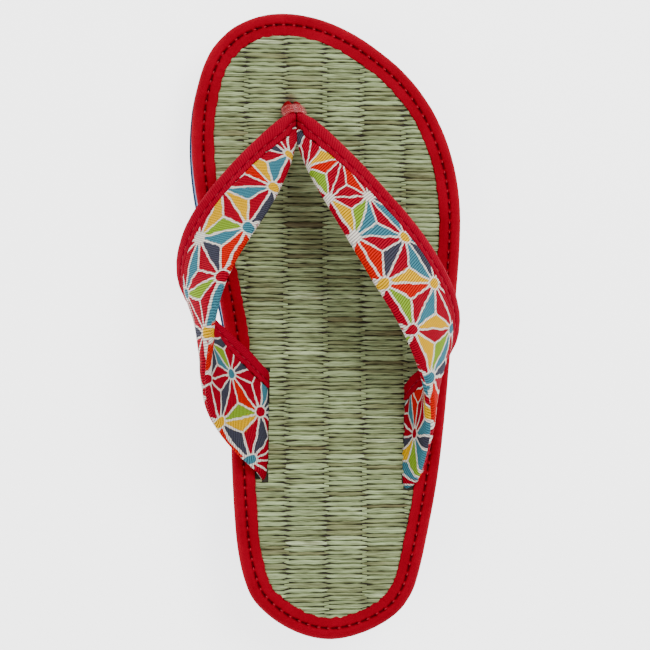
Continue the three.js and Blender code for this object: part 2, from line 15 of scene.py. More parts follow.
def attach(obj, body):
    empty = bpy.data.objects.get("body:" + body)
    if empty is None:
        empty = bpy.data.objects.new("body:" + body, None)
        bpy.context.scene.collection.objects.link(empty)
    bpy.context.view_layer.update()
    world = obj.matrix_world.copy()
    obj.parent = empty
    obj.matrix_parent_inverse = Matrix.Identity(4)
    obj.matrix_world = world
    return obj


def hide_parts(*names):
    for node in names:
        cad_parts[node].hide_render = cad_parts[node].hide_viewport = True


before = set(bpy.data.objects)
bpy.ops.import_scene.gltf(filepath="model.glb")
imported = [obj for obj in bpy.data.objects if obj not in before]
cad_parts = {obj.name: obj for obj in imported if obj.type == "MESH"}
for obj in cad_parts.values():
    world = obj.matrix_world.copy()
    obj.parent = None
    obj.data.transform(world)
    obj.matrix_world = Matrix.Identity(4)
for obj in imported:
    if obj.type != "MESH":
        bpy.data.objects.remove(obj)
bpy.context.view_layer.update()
RNG = np.random.default_rng(11)

# Sizes in millimetres. They are the CAD part's, but the strap tape, thong and sleeve are fuller
L, W = 240.0, 104.0
HEEL_PAD = 0.205 * L
HEEL_STACK, BALL_STACK = 24.0, 15.0
MAT_DEPTH = 4.3
OUTSOLE = 4.2
FIT = 0.3
TOE_LIFT, TOE_TOP_LIFT = 5.0, 3.0
ARCH_RISE = 2.6
FLARE = 1.5
TAPE_REACH = 8.6
TAPE_STITCH_INSET = 4.6
STITCH_PITCH = 3.9
STRAP_RISE = 38.0
STRAP_TAPE = 7.1
STRAP_DEPTH, STRAP_DEPTH_TOE, STRAP_DEPTH_FOOT = 5.6, 4.6, 4.0
POST_WIDE, POST_DEEP, POST_CLEFT = 7.6, 7.4, 0.36
SLEEVE_WIDE, SLEEVE_DEEP, SLEEVE_WALL = 9.2, 7.6, 0.8
# Cloth of the thong laid flat, for its weave
POST_CLOTH_LONG, POST_CLOTH_WIDE = 18, 22

# Places as shares of the sole's length or width
WEDGE_FROM, WEDGE_TO = 0.17, 0.68
ARCH_FROM, ARCH_TO = 0.32, 0.54
TOE_LIFT_FROM = 0.8
TREAD_GROOVES = (0.1, 0.17, 0.24, 0.6, 0.66, 0.72, 0.78)
SEAM_X = -0.139 * W
# Places as shares of the toe post's middle line
POST_TO = 0.93
SLEEVE_FROM, SLEEVE_TO, SLEEVE_SLANT = 0.28, 0.93, 0.46

# Edge of the sole: share of the length, then big-toe and little-toe side as shares of the width
OUTLINE = [
    (1.0, -0.176, -0.176), (0.98, -0.351, 0.033), (0.961, -0.406, 0.118),
    (0.942, -0.443, 0.183), (0.923, -0.466, 0.24), (0.904, -0.483, 0.287),
    (0.885, -0.495, 0.326), (0.865, -0.505, 0.36), (0.846, -0.512, 0.388),
    (0.808, -0.518, 0.43), (0.77, -0.517, 0.459), (0.732, -0.509, 0.478),
    (0.693, -0.495, 0.488), (0.654, -0.475, 0.489), (0.606, -0.448, 0.483),
    (0.534, -0.412, 0.467), (0.455, -0.386, 0.445), (0.359, -0.375, 0.421),
    (0.263, -0.369, 0.392), (0.168, -0.356, 0.351), (0.12, -0.339, 0.327),
    (0.082, -0.313, 0.302), (0.063, -0.289, 0.28), (0.044, -0.248, 0.246),
    (0.025, -0.19, 0.187), (0.005, -0.087, 0.075), (0.0, -0.007, -0.007),
]

# Strap edges: taped edge (along, across, rise), then folded edge (along, across, rise)
MEDIAL = [
    (0.832, -0.15, 0.38, 0.816, -0.138, 0.21), (0.824, -0.192, 0.43, 0.796, -0.141, 0.34),
    (0.811, -0.23, 0.46, 0.776, -0.147, 0.45), (0.775, -0.317, 0.49, 0.748, -0.164, 0.54),
    (0.738, -0.396, 0.51, 0.715, -0.197, 0.63), (0.7, -0.467, 0.51, 0.68, -0.241, 0.73),
    (0.664, -0.521, 0.48, 0.642, -0.3, 0.84), (0.628, -0.553, 0.41, 0.602, -0.36, 0.94),
    (0.592, -0.563, 0.33, 0.559, -0.409, 0.99), (0.56, -0.545, 0.26, 0.512, -0.441, 0.97),
    (0.532, -0.498, 0.21, 0.462, -0.461, 0.86), (0.506, -0.434, 0.18, 0.411, -0.469, 0.68),
    (0.479, -0.361, 0.14, 0.361, -0.451, 0.46), (0.454, -0.298, 0.09, 0.31, -0.377, 0.24),
    (0.434, -0.258, 0.02, 0.266, -0.277, 0.06), (0.426, -0.246, -0.08, 0.25, -0.253, -0.08),
    (0.424, -0.245, -0.24, 0.248, -0.248, -0.24),
]
LATERAL = [
    (0.832, -0.128, 0.38, 0.816, -0.138, 0.21), (0.825, -0.09, 0.43, 0.796, -0.137, 0.34),
    (0.811, -0.047, 0.46, 0.773, -0.131, 0.45), (0.775, 0.037, 0.51, 0.745, -0.109, 0.56),
    (0.738, 0.117, 0.56, 0.715, -0.077, 0.67), (0.7, 0.194, 0.59, 0.681, -0.035, 0.78),
    (0.663, 0.268, 0.59, 0.641, 0.016, 0.88), (0.626, 0.334, 0.54, 0.599, 0.07, 0.96),
    (0.588, 0.39, 0.46, 0.557, 0.127, 1.0), (0.551, 0.432, 0.37, 0.516, 0.186, 0.99),
    (0.514, 0.452, 0.28, 0.476, 0.238, 0.93), (0.481, 0.443, 0.22, 0.437, 0.28, 0.83),
    (0.453, 0.403, 0.17, 0.397, 0.315, 0.69), (0.434, 0.343, 0.13, 0.355, 0.335, 0.5),
    (0.42, 0.299, 0.08, 0.302, 0.332, 0.29), (0.411, 0.288, 0.01, 0.25, 0.301, 0.08),
    (0.408, 0.285, -0.08, 0.236, 0.262, -0.08), (0.407, 0.284, -0.24, 0.234, 0.256, -0.24),
]
# Middle line of the toe post, from inside the sole up to the straps (along, across, rise)
POST = [
    (0.847, -0.15, -0.2), (0.846, -0.149, 0.0), (0.842, -0.147, 0.13),
    (0.833, -0.143, 0.26), (0.82, -0.139, 0.36),
]

# Stars of the print, given to the half millimetre: distance from the taped edge, distance
# along the strap, then the star's place in the pattern (along its row, row)
STARS_LATERAL = [
    (5.0, 24.0, 1, 0), (10.0, 42.0, 2, 0), (10.0, 61.0, 3, 0), (11.0, 81.0, 4, 0),
    (8.5, 100.0, 5, 0), (18.5, 22.5, 0, 1), (23.5, 39.5, 1, 1), (28.5, 57.0, 2, 1),
    (33.5, 76.0, 3, 1), (33.5, 94.0, 4, 1), (27.5, 110.5, 5, 1),
]
STARS_LATERAL_BACK = [(14.0, 118.5, 0, 0), (22.0, 136.5, 1, 0), (32.0, 121.0, 0, 1)]
STARS_MEDIAL = [
    (4.5, 38.5, 2, 0), (10.5, 60.0, 3, 0), (11.0, 81.0, 4, 0), (14.0, 17.0, 0, 1),
    (21.0, 33.5, 1, 1), (25.5, 52.0, 2, 1), (30.0, 70.0, 3, 1), (31.0, 87.0, 4, 1),
]
STARS_MEDIAL_BACK = [
    (14.5, 115.0, 0, 0), (18.5, 134.5, 1, 0), (31.0, 101.0, -1, 1), (33.0, 117.5, 0, 1),
    (37.5, 132.5, 1, 1), (32.0, 87.0, -1, 0),
]
# Colours of the petals by pattern cell, named one by one: three of its near half, then three of its
# far half. C crimson, V vermilion, Y yellow, T teal, G green, K charcoal, W cream
CHART_LATERAL = {
    (0, 0): "YCKVCG", (1, 0): "CCVCGY", (2, 0): "TTCCKV", (3, 0): "YCTVCG", (4, 0): "YTCCGY",
    (5, 0): "KTCCTV", (-1, 0): "CKCKCC", (3, 1): "CGCCTC", (1, 1): "CYCCCT", (2, 1): "CTVCCG",
    (3, -1): "CKCTCK", (4, -1): "CCTCKC", (4, 1): "TGCCKC",
}
CHART_LATERAL_BACK = {(0, 0): "TYCKTC", (0, -1): "CTCVVC", (1, 0): "TGYCCT", (1, -1): "CTCCCK"}
CHART_MEDIAL = {
    (0, 0): "KCCCYT", (1, 0): "CVCTYC", (2, 0): "GCYTKV", (3, 0): "CCTGCC", (4, 0): "KCCCTC",
    (-1, 0): "CKCKCC", (1, 1): "CCKCCT", (2, 1): "CTVCGC", (0, 1): "CCCCTC", (3, -1): "CTCCTC",
}
CHART_MEDIAL_BACK = {
    (-1, 0): "CKTCKC", (0, 0): "GCVYCK", (1, 0): "CKCCTC", (-1, -1): "CKCKCG",
    (0, -1): "KCCCCC", (0, 1): "CCVCTC", (-1, 1): "KCCVCC",
}
# Colours of the stars' middles
DOTS_LATERAL = {(0, 1): "W", (1, 1): "W", (2, 1): "W", (3, 1): "Y", (4, 1): "C", (5, 1): "T",
                (1, 0): "W", (2, 0): "W", (3, 0): "Y", (4, 0): "Y", (5, 0): "T"}
DOTS_LATERAL_BACK = {(0, 0): "W", (1, 0): "C", (0, 1): "T", (2, 0): "W"}
DOTS_MEDIAL = {(0, 1): "Y", (1, 1): "Y", (2, 1): "T", (3, 1): "C", (4, 1): "Y",
               (2, 0): "W", (3, 0): "W", (4, 0): "T"}
DOTS_MEDIAL_BACK = {(0, 0): "T", (1, 0): "C", (-1, 1): "C", (0, 1): "Y", (1, 1): "T", (-1, 0): "Y"}
# Each strap's print: its front, its back, and the length up to which the front's runs on round the fold
MEDIAL_PRINT = (
    (STARS_MEDIAL, CHART_MEDIAL, DOTS_MEDIAL),
    (STARS_MEDIAL_BACK, CHART_MEDIAL_BACK, DOTS_MEDIAL_BACK), 84.0,
)
LATERAL_PRINT = (
    (STARS_LATERAL, CHART_LATERAL, DOTS_LATERAL),
    (STARS_LATERAL_BACK, CHART_LATERAL_BACK, DOTS_LATERAL_BACK), 106.0,
)
STAR_STEP = 19.0
# Letters drawn for petals that no chart names
SPARE_PETALS = "CCCCVCTTCK"


# Numbers

def smooth(a, b, x):
    """A soft step from 0 at a to 1 at b."""
    t = np.clip((np.asarray(x, float) - a) / (b - a), 0, 1)
    return t * t * (3 - 2 * t)


def wave_noise(x, scale, seed, octaves=3):
    """Smooth noise of one number, about -1 to 1, from a few waves that don't repeat."""
    x = np.asarray(x, float) / scale
    rng = np.random.default_rng(seed)
    out = np.zeros_like(x)
    for k in range(octaves):
        f = (1.0 + 0.7 * k) * (2 * math.pi) * rng.uniform(0.7, 1.3)
        out = out + np.sin(f * x + rng.uniform(0, 6.28)) / (1 + 0.6 * k)
    return out / 1.9


def field_noise(x, y, scale, seed, waves=7):
    """Smooth noise over two numbers, about -1 to 1."""
    rng = np.random.default_rng(seed)
    out = 0
    for _ in range(waves):
        a = rng.uniform(0, 2 * math.pi)
        f = 2 * math.pi / scale * rng.uniform(0.6, 1.7)
        out = out + np.sin((x * math.cos(a) + y * math.sin(a)) * f + rng.uniform(0, 6.28))
    return out / (waves ** 0.5 * 1.2)


def toe_lift(y):
    """Share of the toe's lift at y: nothing up to the ball, then growing as a square to the tip."""
    return np.clip((np.clip(y / L, 0, 1) - TOE_LIFT_FROM) / (1 - TOE_LIFT_FROM), 0, None) ** 2


def ground_z(y):
    """Underside of the sole, with its arch and lifted toe."""
    a = np.clip(y / L, 0, 1)
    arch = np.clip((a - ARCH_FROM) * (ARCH_TO - a), 0, None)
    return TOE_LIFT * toe_lift(y) + ARCH_RISE * smooth(0, ((ARCH_TO - ARCH_FROM) / 2) ** 2, arch)


def top_z(y):
    """Top of the foam wedge."""
    wedge = smooth(WEDGE_FROM, WEDGE_TO, np.clip(y / L, 0, 1))
    return HEEL_STACK + (BALL_STACK - HEEL_STACK) * wedge + TOE_TOP_LIFT * toe_lift(y)


def base_z(y):
    """Underside of the mat."""
    return top_z(y) + FIT


def mat_z(y):
    """Top of the mat."""
    return base_z(y) + MAT_DEPTH


def raised(surface, by):
    """The height function of a surface, moved up."""
    return lambda y: surface(y) + by


def between(low, high, share):
    """The height function at a share of the way from one surface to another."""
    return lambda y: low(y) + (high(y) - low(y)) * share


def edge_knots():
    """The edge's points as (angle round the sole from the toe tip, share of the width)."""
    rows = []
    for along, medial, _ in OUTLINE:
        rows.append((math.acos(2 * along - 1), medial))
    for along, _, lateral in OUTLINE[-2:0:-1]:
        rows.append((2 * math.pi - math.acos(2 * along - 1), lateral))
    return np.array(rows)


KNOTS = edge_knots()


def edge_at(angle):
    """Points of the sole's edge for an angle that runs round from the toe tip."""
    n = len(KNOTS)
    ang = np.concatenate([KNOTS[:, 0] - 2 * math.pi, KNOTS[:, 0], KNOTS[:, 0] + 2 * math.pi])
    val = np.tile(KNOTS[:, 1], 3)
    slope = np.zeros(3 * n)
    slope[1:-1] = (val[2:] - val[:-2]) / (ang[2:] - ang[:-2])
    angle = np.asarray(angle) % (2 * math.pi)
    i = np.clip(np.searchsorted(ang, angle, side="right") - 1, 0, 3 * n - 2)
    span = ang[i + 1] - ang[i]
    t = (angle - ang[i]) / span
    x = (2 * t**3 - 3 * t**2 + 1) * val[i] + (3 * t**2 - 2 * t**3) * val[i + 1]
    x = x + span * ((t**3 - 2 * t**2 + t) * slope[i] + (t**3 - t**2) * slope[i + 1])
    return np.stack([x * W, (1 + np.cos(angle)) / 2 * L], 1)


def inward_of(points):
    """Directions square to a closed line of points, toward its inside."""
    run = np.roll(points, -1, 0) - np.roll(points, 1, 0)
    run /= np.linalg.norm(run, axis=1)[:, None]
    return np.stack([-run[:, 1], run[:, 0]], 1)


def round_edge(count, inset):
    """Points on the edge, equally spaced along the line moved inward by the inset, their inward directions,
    their places along that line and its whole length.
    """
    dense = edge_at(np.linspace(0, 2 * math.pi, 6001)[:-1])
    inner = dense + inward_of(dense) * inset
    step = np.linalg.norm(np.roll(inner, -1, 0) - inner, axis=1)
    run = np.concatenate([[0], np.cumsum(step)])
    want = np.linspace(0, run[-1], count + 1)[:-1]
    closed = np.vstack([dense, dense[:1]])
    points = np.stack([np.interp(want, run, closed[:, k]) for k in range(2)], 1)
    return points, inward_of(points), want, run[-1]


# Meshes

def mesh_object(name, verts, faces):
    """A piece from millimetre vertices; the CAD part's origin is under the heel pad."""
    co = (np.asarray(verts, float) - [0, HEEL_PAD, 0]) / 1000.0
    mesh = bpy.data.meshes.new(name)
    mesh.from_pydata(co.tolist(), [], [list(map(int, f)) for f in faces])
    mesh.validate()
    mesh.polygons.foreach_set("use_smooth", [True] * len(mesh.polygons))
    mesh.update()
    obj = bpy.data.objects.new(name, mesh)
    bpy.context.scene.collection.objects.link(obj)
    return obj


def grid_faces(rows, cols, wrap_rows=False, wrap_cols=False):
    """Quads between rows of points, closed either way where asked."""
    faces = []
    for r in range(rows if wrap_rows else rows - 1):
        for c in range(cols if wrap_cols else cols - 1):
            r2, c2 = (r + 1) % rows, (c + 1) % cols
            faces.append((r * cols + c, r * cols + c2, r2 * cols + c2, r2 * cols + c))
    return faces


def attribute(obj, name, values, kind="FLOAT"):
    """Stores a value, vector or colour for each point of a piece."""
    layer = obj.data.attributes.new(name, kind, "POINT")
    field = {"FLOAT": "value", "FLOAT_VECTOR": "vector", "FLOAT_COLOR": "color"}[kind]
    layer.data.foreach_set(field, np.asarray(values, np.float32).ravel())


def outward(obj):
    """Turns the faces outward."""
    bm = bmesh.new()
    bm.from_mesh(obj.data)
    bmesh.ops.recalc_face_normals(bm, faces=bm.faces)
    bm.to_mesh(obj.data)
    bm.free()


def sole_rings(name, rows, count=300):
    """A closed body from rows of (inset, draw toward the middle line, height function, flare)."""
    angle = np.linspace(0, 2 * math.pi, count + 1)[:-1]
    edge = edge_at(angle)
    inward = inward_of(edge)
    verts = []
    medial = np.clip(np.sin(angle), 0, None) * smooth(0.35, 0.6, edge[:, 1] / L)
    for inset, draw, height, flare in rows:
        flat = edge + inward * (inset - flare * medial)[:, None]
        other = flat[(count - np.arange(count)) % count]
        flat = flat + (other - flat) * 0.5 * draw
        verts.append(np.column_stack([flat, height(flat[:, 1])]))
    verts = np.vstack(verts)
    faces = grid_faces(len(rows), count, wrap_cols=True)
    half = count // 2
    for base in (0, (len(rows) - 1) * count):
        faces.append((base, base + 1, base + count - 1))
        faces.append((base + half - 1, base + half, base + half + 1))
        for i in range(1, half - 1):
            faces.append((base + i, base + i + 1, base + count - i - 1, base + count - i))
    obj = mesh_object(name, verts, faces)
    outward(obj)
    return obj


# Shader helpers

class Nodes:
    """Short forms for building one node tree."""

    def __init__(self, tree):
        self.tree = tree

    def new(self, kind, **values):
        node = self.tree.nodes.new(kind)
        for key, value in values.items():
            setattr(node, key, value)
        return node

    def link(self, a, b):
        self.tree.links.new(a, b)

    def put(self, socket, value):
        if isinstance(value, bpy.types.NodeSocket):
            self.link(value, socket)
        else:
            socket.default_value = value

    def math(self, operation, *values):
        node = self.new("ShaderNodeMath", operation=operation)
        for socket, value in zip(node.inputs, values):
            self.put(socket, value)
        return node.outputs[0]

    def plus(self, a, b):
        return self.math("ADD", a, b)

    def less(self, a, b):
        return self.math("SUBTRACT", a, b)

    def times(self, a, b):
        return self.math("MULTIPLY", a, b)

    def mix(self, factor, a, b, mode="MIX"):
        node = self.new("ShaderNodeMix", data_type="RGBA", blend_type=mode)
        self.put(node.inputs[0], factor)
        self.put(node.inputs[6], a)
        self.put(node.inputs[7], b)
        return node.outputs[2]

    def remap(self, value, low, high, to_low, to_high):
        node = self.new("ShaderNodeMapRange", clamp=True)
        for socket, setting in zip(node.inputs, (value, low, high, to_low, to_high)):
            self.put(socket, setting)
        return node.outputs[0]

    def noise(self, vector, scale, detail=3.0, rough=0.55):
        node = self.new("ShaderNodeTexNoise")
        node.inputs["Scale"].default_value = scale
        node.inputs["Detail"].default_value = detail
        node.inputs["Roughness"].default_value = rough
        self.put(node.inputs["Vector"], vector)
        return node.outputs["Fac"]

    def stretched(self, vector, factors, detail=3.0, rough=0.55):
        """Noise over a place that is first multiplied, along each way by its own factor."""
        return self.noise(self.scaled(vector, factors), 1.0, detail, rough)

    def scaled(self, vector, factors):
        node = self.new("ShaderNodeVectorMath", operation="MULTIPLY")
        self.put(node.inputs[0], vector)
        node.inputs[1].default_value = factors
        return node.outputs[0]

    def attr(self, name, what="Fac"):
        return self.new("ShaderNodeAttribute", attribute_name=name).outputs[what]

    def ramp(self, value, stops):
        node = self.new("ShaderNodeValToRGB")
        while len(node.color_ramp.elements) < len(stops):
            node.color_ramp.elements.new(0.5)
        for element, (place, colour) in zip(node.color_ramp.elements, stops):
            element.position = place
            element.color = colour
        self.put(node.inputs[0], value)
        return node.outputs[0]

    def bump(self, height, strength, distance, normal=None):
        node = self.new("ShaderNodeBump")
        node.inputs["Strength"].default_value = strength
        node.inputs["Distance"].default_value = distance
        self.put(node.inputs["Height"], height)
        if normal is not None:
            self.link(normal, node.inputs["Normal"])
        return node.outputs[0]


def rgb(r, g, b):
    """A colour from screen values 0 to 255."""
    return tuple(
        (c / 255 / 12.92) if c / 255 <= 0.04045 else ((c / 255 + 0.055) / 1.055) ** 2.4
        for c in (r, g, b)
    ) + (1.0,)


def material(name):
    """A new material, the short forms for its nodes, and its Principled shader."""
    mat = bpy.data.materials.new(name)
    mat.use_nodes = True
    tree = mat.node_tree
    return mat, Nodes(tree), tree.nodes["Principled BSDF"]


def matt(shader, rough, specular):
    """The plain settings of a finish: constant roughness and specular level."""
    shader.inputs["Roughness"].default_value = rough
    shader.inputs["Specular IOR Level"].default_value = specular


def group(name, ins, outs):
    """A node group with named inputs and outputs: (name, socket type, default)."""
    tree = bpy.data.node_groups.new(name, "ShaderNodeTree")
    for label, kind, value in ins:
        item = tree.interface.new_socket(name=label, in_out="INPUT", socket_type=kind)
        if value is not None:
            item.default_value = value
    for label, kind in outs:
        tree.interface.new_socket(name=label, in_out="OUTPUT", socket_type=kind)
    start = tree.nodes.new("NodeGroupInput")
    end = tree.nodes.new("NodeGroupOutput")
    return tree, Nodes(tree), start, end


def use_group(n, tree, **values):
    """Places a node group, with a value or link for each of its inputs."""
    node = n.new("ShaderNodeGroup", node_tree=tree)
    for key, value in values.items():
        n.put(node.inputs[key], value)
    return node


def cotton_weave():
    """Shared effect: the weave of cotton cloth, with slanting ribs and soft fibres."""
    tree, n, start, end = group(
        "cotton weave",
        [("Vector", "NodeSocketVector", None), ("Pitch", "NodeSocketFloat", 0.5),
         ("Slant", "NodeSocketFloat", 0.6), ("Cross", "NodeSocketFloat", 0.3)],
        [("Height", "NodeSocketFloat"), ("Shade", "NodeSocketFloat")],
    )
    cloth, pitch, slant, cross = (start.outputs[k] for k in ("Vector", "Pitch", "Slant", "Cross"))
    sep = n.new("ShaderNodeSeparateXYZ")
    n.link(cloth, sep.inputs[0])
    wobble = n.times(n.noise(cloth, 0.35, 2.0), 0.6)
    over = n.math("MULTIPLY_ADD", sep.outputs[1], slant, sep.outputs[0])
    under = n.less(sep.outputs[1], n.times(sep.outputs[0], slant))

    def threads(run):
        turn = n.math("DIVIDE", n.times(n.plus(run, wobble), 2 * math.pi), pitch)
        return n.math("MULTIPLY_ADD", n.math("SINE", turn), 0.5, 0.5)

    fibre = n.noise(cloth, 2.6, 3.0, 0.6)
    height = n.plus(threads(over), n.times(threads(under), cross))
    height = n.plus(height, n.times(n.less(fibre, 0.5), 0.7))
    n.link(height, end.inputs["Height"])
    # Shade is low in the valleys between the ribs, where it paints shade
    n.link(n.remap(height, 0.05, 0.75, 0.0, 1.0), end.inputs["Shade"])
    return tree


WEAVE = cotton_weave()


def red_cloth(name, light, deep, pitch=0.45, ribs=0.3, slant=0.75):
    """Red cotton with ribs of a given pitch, strength and slant; painted shade darkens the valleys of the
    ribs, and the seam shade mask darkens the stitch dents and holes, the strap tape's seam groove and the
    thong's cleft.
    """
    mat, n, shader = material(name)
    cloth = n.attr("cloth", "Vector")
    weave = use_group(n, WEAVE, Vector=cloth, Pitch=pitch, Slant=slant, Cross=0.25)
    broad = n.stretched(cloth, (0.05, 0.12, 1.0))
    base = n.mix(n.remap(broad, 0.3, 0.7, 0.0, 1.0), deep, light)
    # painted shade in the valleys between the ribs
    valley = n.mix(1.0, base, rgb(120, 110, 120), "MULTIPLY")
    base = n.mix(n.remap(weave.outputs["Shade"], 0.0, 1.0, ribs, 0.0), base, valley)
    # painted shade, near black, where the seam shade mask marks stitch dents and holes, a seam's groove and
    # the thong's cleft
    base = n.mix(n.times(n.attr("seam_shade"), 0.94), base, rgb(34, 2, 6))
    n.link(base, shader.inputs["Base Color"])
    matt(shader, 0.85, 0.04)
    n.link(n.bump(weave.outputs["Height"], 0.6 * ribs + 0.15, 0.0003), shader.inputs["Normal"])
    return mat


def plain(name, colour, rough, specular):
    """A material of one colour and finish."""
    mat, _, shader = material(name)
    shader.inputs["Base Color"].default_value = colour
    matt(shader, rough, specular)
    return mat


RED_TAPE = red_cloth("red tape", rgb(160, 0, 30), rgb(142, 0, 24), 0.5, 0.35)
STRAP_RED = red_cloth("red strap tape", rgb(160, 0, 36), rgb(142, 0, 28), 0.9, 0.42, 0.7)
THREAD = plain("red thread", rgb(158, 16, 36), 0.6, 0.3)


# Sole

def sole_material(name, colour, dark, flecks):
    """Foam rubber with fine cells, uneven colour and pale scuffs."""
    mat, n, shader = material(name)
    place = n.new("ShaderNodeTexCoord").outputs["Object"]
    broad = n.noise(place, 60.0, 3.0)
    fine = n.noise(place, 900.0, 2.0)
    base = n.mix(n.remap(broad, 0.3, 0.7, 0.0, 1.0), dark, colour)
    scuff = n.noise(n.scaled(place, (1.0, 1.0, 2.6)), 210.0, 4.0, 0.7)
    base = n.mix(n.remap(scuff, 0.66, 0.76, 0.0, flecks), base, rgb(170, 185, 200))
    n.link(base, shader.inputs["Base Color"])
    matt(shader, 0.62, 0.35)
    cells = n.bump(fine, 0.35, 0.00025)
    n.link(n.bump(broad, 0.2, 0.0005, cells), shader.inputs["Normal"])
    return mat


# Innermost ring of a closed body's bottom and top: inset, and draw toward the middle line
CORE_RING = (12.5, 0.45)


def build_sole():
    """The outsole with its tread grooves, and the foam wedge, which swells out a little."""
    top = raised(ground_z, OUTSOLE)
    outsole = sole_rings("outsole_look", [
        (*CORE_RING, ground_z, 0), (1.4, 0, ground_z, FLARE), (0.75, 0, raised(ground_z, 0.25), FLARE),
        (0.4, 0, raised(ground_z, 0.9), FLARE), (0.38, 0, raised(ground_z, 2.4), FLARE),
        (0.4, 0, raised(ground_z, 3.8), FLARE), (0.6, 0, top, FLARE), (*CORE_RING, top, 0),
    ])
    base = raised(ground_z, OUTSOLE + FIT)
    # the wedge's side from bottom to top: (inset, share of its height, share of the flare)
    side = ((1.3, 0.04, 1), (1.1, 0.12, 1), (1.2, 0.35, 0.9), (1.2, 0.65, 0.8), (1.1, 0.88, 0.7),
            (1.3, 0.96, 0.4))
    midsole = sole_rings("midsole_look", [
        (*CORE_RING, base, 0), (1.7, 0, base, FLARE),
        *((inset, 0, between(base, top_z, share), FLARE * flare) for inset, share, flare in side),
        (1.8, 0, top_z, 0), (*CORE_RING, top_z, 0),
    ])
    for along in TREAD_GROOVES:
        bpy.ops.mesh.primitive_cube_add(size=1)
        cutter = bpy.context.object
        cutter.dimensions = (0.24, 0.003, 0.0028)
        cutter.location = (0, (along * L - HEEL_PAD) / 1000, 0)
        cut(outsole, cutter)
    outsole.data.materials.append(sole_material("outsole rubber", rgb(22, 62, 100), rgb(12, 44, 78), 0.5))
    midsole.data.materials.append(sole_material("sole foam", rgb(46, 92, 140), rgb(32, 74, 118), 0.7))
    return outsole, midsole


def cut(target, cutter):
    """Takes the cutter's room out of the target and drops the cutter."""
    bpy.context.view_layer.update()
    mod = target.modifiers.new("cut", "BOOLEAN")
    mod.operation = "DIFFERENCE"
    mod.solver = "EXACT"
    mod.object = cutter
    bpy.context.view_layer.objects.active = target
    with bpy.context.temp_override(object=target, active_object=target):
        bpy.ops.object.modifier_apply(modifier=mod.name)
    bpy.data.objects.remove(cutter)


# Rush mat

# Warp lines across the mat, which the rushes run over
WARPS = [-62.9, -47.8, -32.9, -17.8, -2.5, 12.0, 28.3, 43.5, 58.6]
RUSH_PITCH = 1.78
# Points along a rush, and its section: place across, then height, as shares
RUSH_ALONG = np.linspace(-1, 1, 13)
RUSH_ACROSS = (-1.0, -0.86, -0.55, 0.0, 0.58, 0.88, 1.0)
RUSH_CROWN = (0.0, 0.66, 0.93, 1.0, 0.92, 0.62, 0.0)
# The thong's hole: its middle and radius
HOLE = (-0.149 * W, 0.846 * L - 0.9, 3.3)


def mat_limits(inset):
    """The mat's left and right limits at an inset from the edge, as points sorted along it."""
    dense = edge_at(np.linspace(0, 2 * math.pi, 4001)[:-1])
    ring = dense + inward_of(dense) * inset
    ring = np.roll(ring, -int(np.argmax(ring[:, 1])), 0)
    low = int(np.argmin(ring[:, 1]))
    left, right = ring[:low + 1], np.vstack([ring[low:], ring[:1]])
    return left[np.argsort(left[:, 1])], right[np.argsort(right[:, 1])]


def free_stretches(x0, x1, y):
    """The stretches of a rush from x0 to x1 at y that no strap or toe post passes through."""
    gaps = []
    for spots in FEET:
        near = spots[np.abs(spots[:, 1] - y) < 0.45]
        if len(near):
            gaps.append((near[:, 0].min() - 0.1, near[:, 0].max() + 0.1))
    cx, cy, r = HOLE
    if abs(y - cy) < r:
        half = (r * r - (y - cy) ** 2) ** 0.5
        gaps.append((cx - half, cx + half))
    free = [(x0, x1)]
    for a, b in gaps:
        sides = [side for s, e in free for side in ((s, min(e, a)), (max(s, b), e))]
        free = [(s, e) for s, e in sides if e > s]
    return free


def add_rush(mat, ends, warps, limits, mid, step, thin):
    """Adds one rush to the mat's lists: it swells between its warp lines and tucks under the tape."""
    seed = RNG.uniform(0, 100)
    tone = float(np.clip(0.52 + 0.15 * RNG.normal() - 0.14 * thin, 0, 1))
    xs = ends[0] + (ends[1] - ends[0]) * (RUSH_ALONG + 1) / 2
    share = np.clip((xs - warps[0]) / (warps[1] - warps[0]), -0.08, 1.08)
    swell = np.clip(1 - np.abs(2 * share - 1) ** 5.0 * 0.72, 0.12, 1)
    half = 0.5 * step * (0.3 + 0.72 * swell)
    drift = 0.16 * wave_noise(xs, 9.0, int(seed * 50), 2)
    drift = drift + RNG.normal(0, 0.08) * (2 * share - 1)
    tuck = 1 - smooth(0.6, 2.2, np.minimum(xs - limits[0], limits[1] - xs))
    high = 0.95 * swell ** 0.8 * min(1.0, 0.55 + 0.5 * step / RUSH_PITCH)
    # from inside the core to a little over the mat's top
    low = mat_z(mid) - 1.15
    top = mat_z(mid) - 0.78 + high - 0.75 * tuck
    first = len(mat["verts"])
    for i, x in enumerate(xs):
        for across, crown in zip(RUSH_ACROSS, RUSH_CROWN):
            y = mid + drift[i] + across * half[i]
            # a faint painted shadow behind the thong, reddish
            behind = (x - HOLE[0] + 0.4) ** 2 + (y - HOLE[1] - 4.8) ** 2
            mat["verts"].append((x, y, low + (top[i] - low) * crown))
            mat["tone"].append(tone)
            mat["grain"].append((x, y, seed))
            mat["rim"].append(abs(across))
            mat["thong_shadow"].append(math.exp(-behind / 6))
    m = len(RUSH_ACROSS)
    for i in range(len(xs) - 1):
        for j in range(m - 1):
            p = first + i * m + j
            mat["faces"].append((p, p + m, p + m + 1, p + 1))


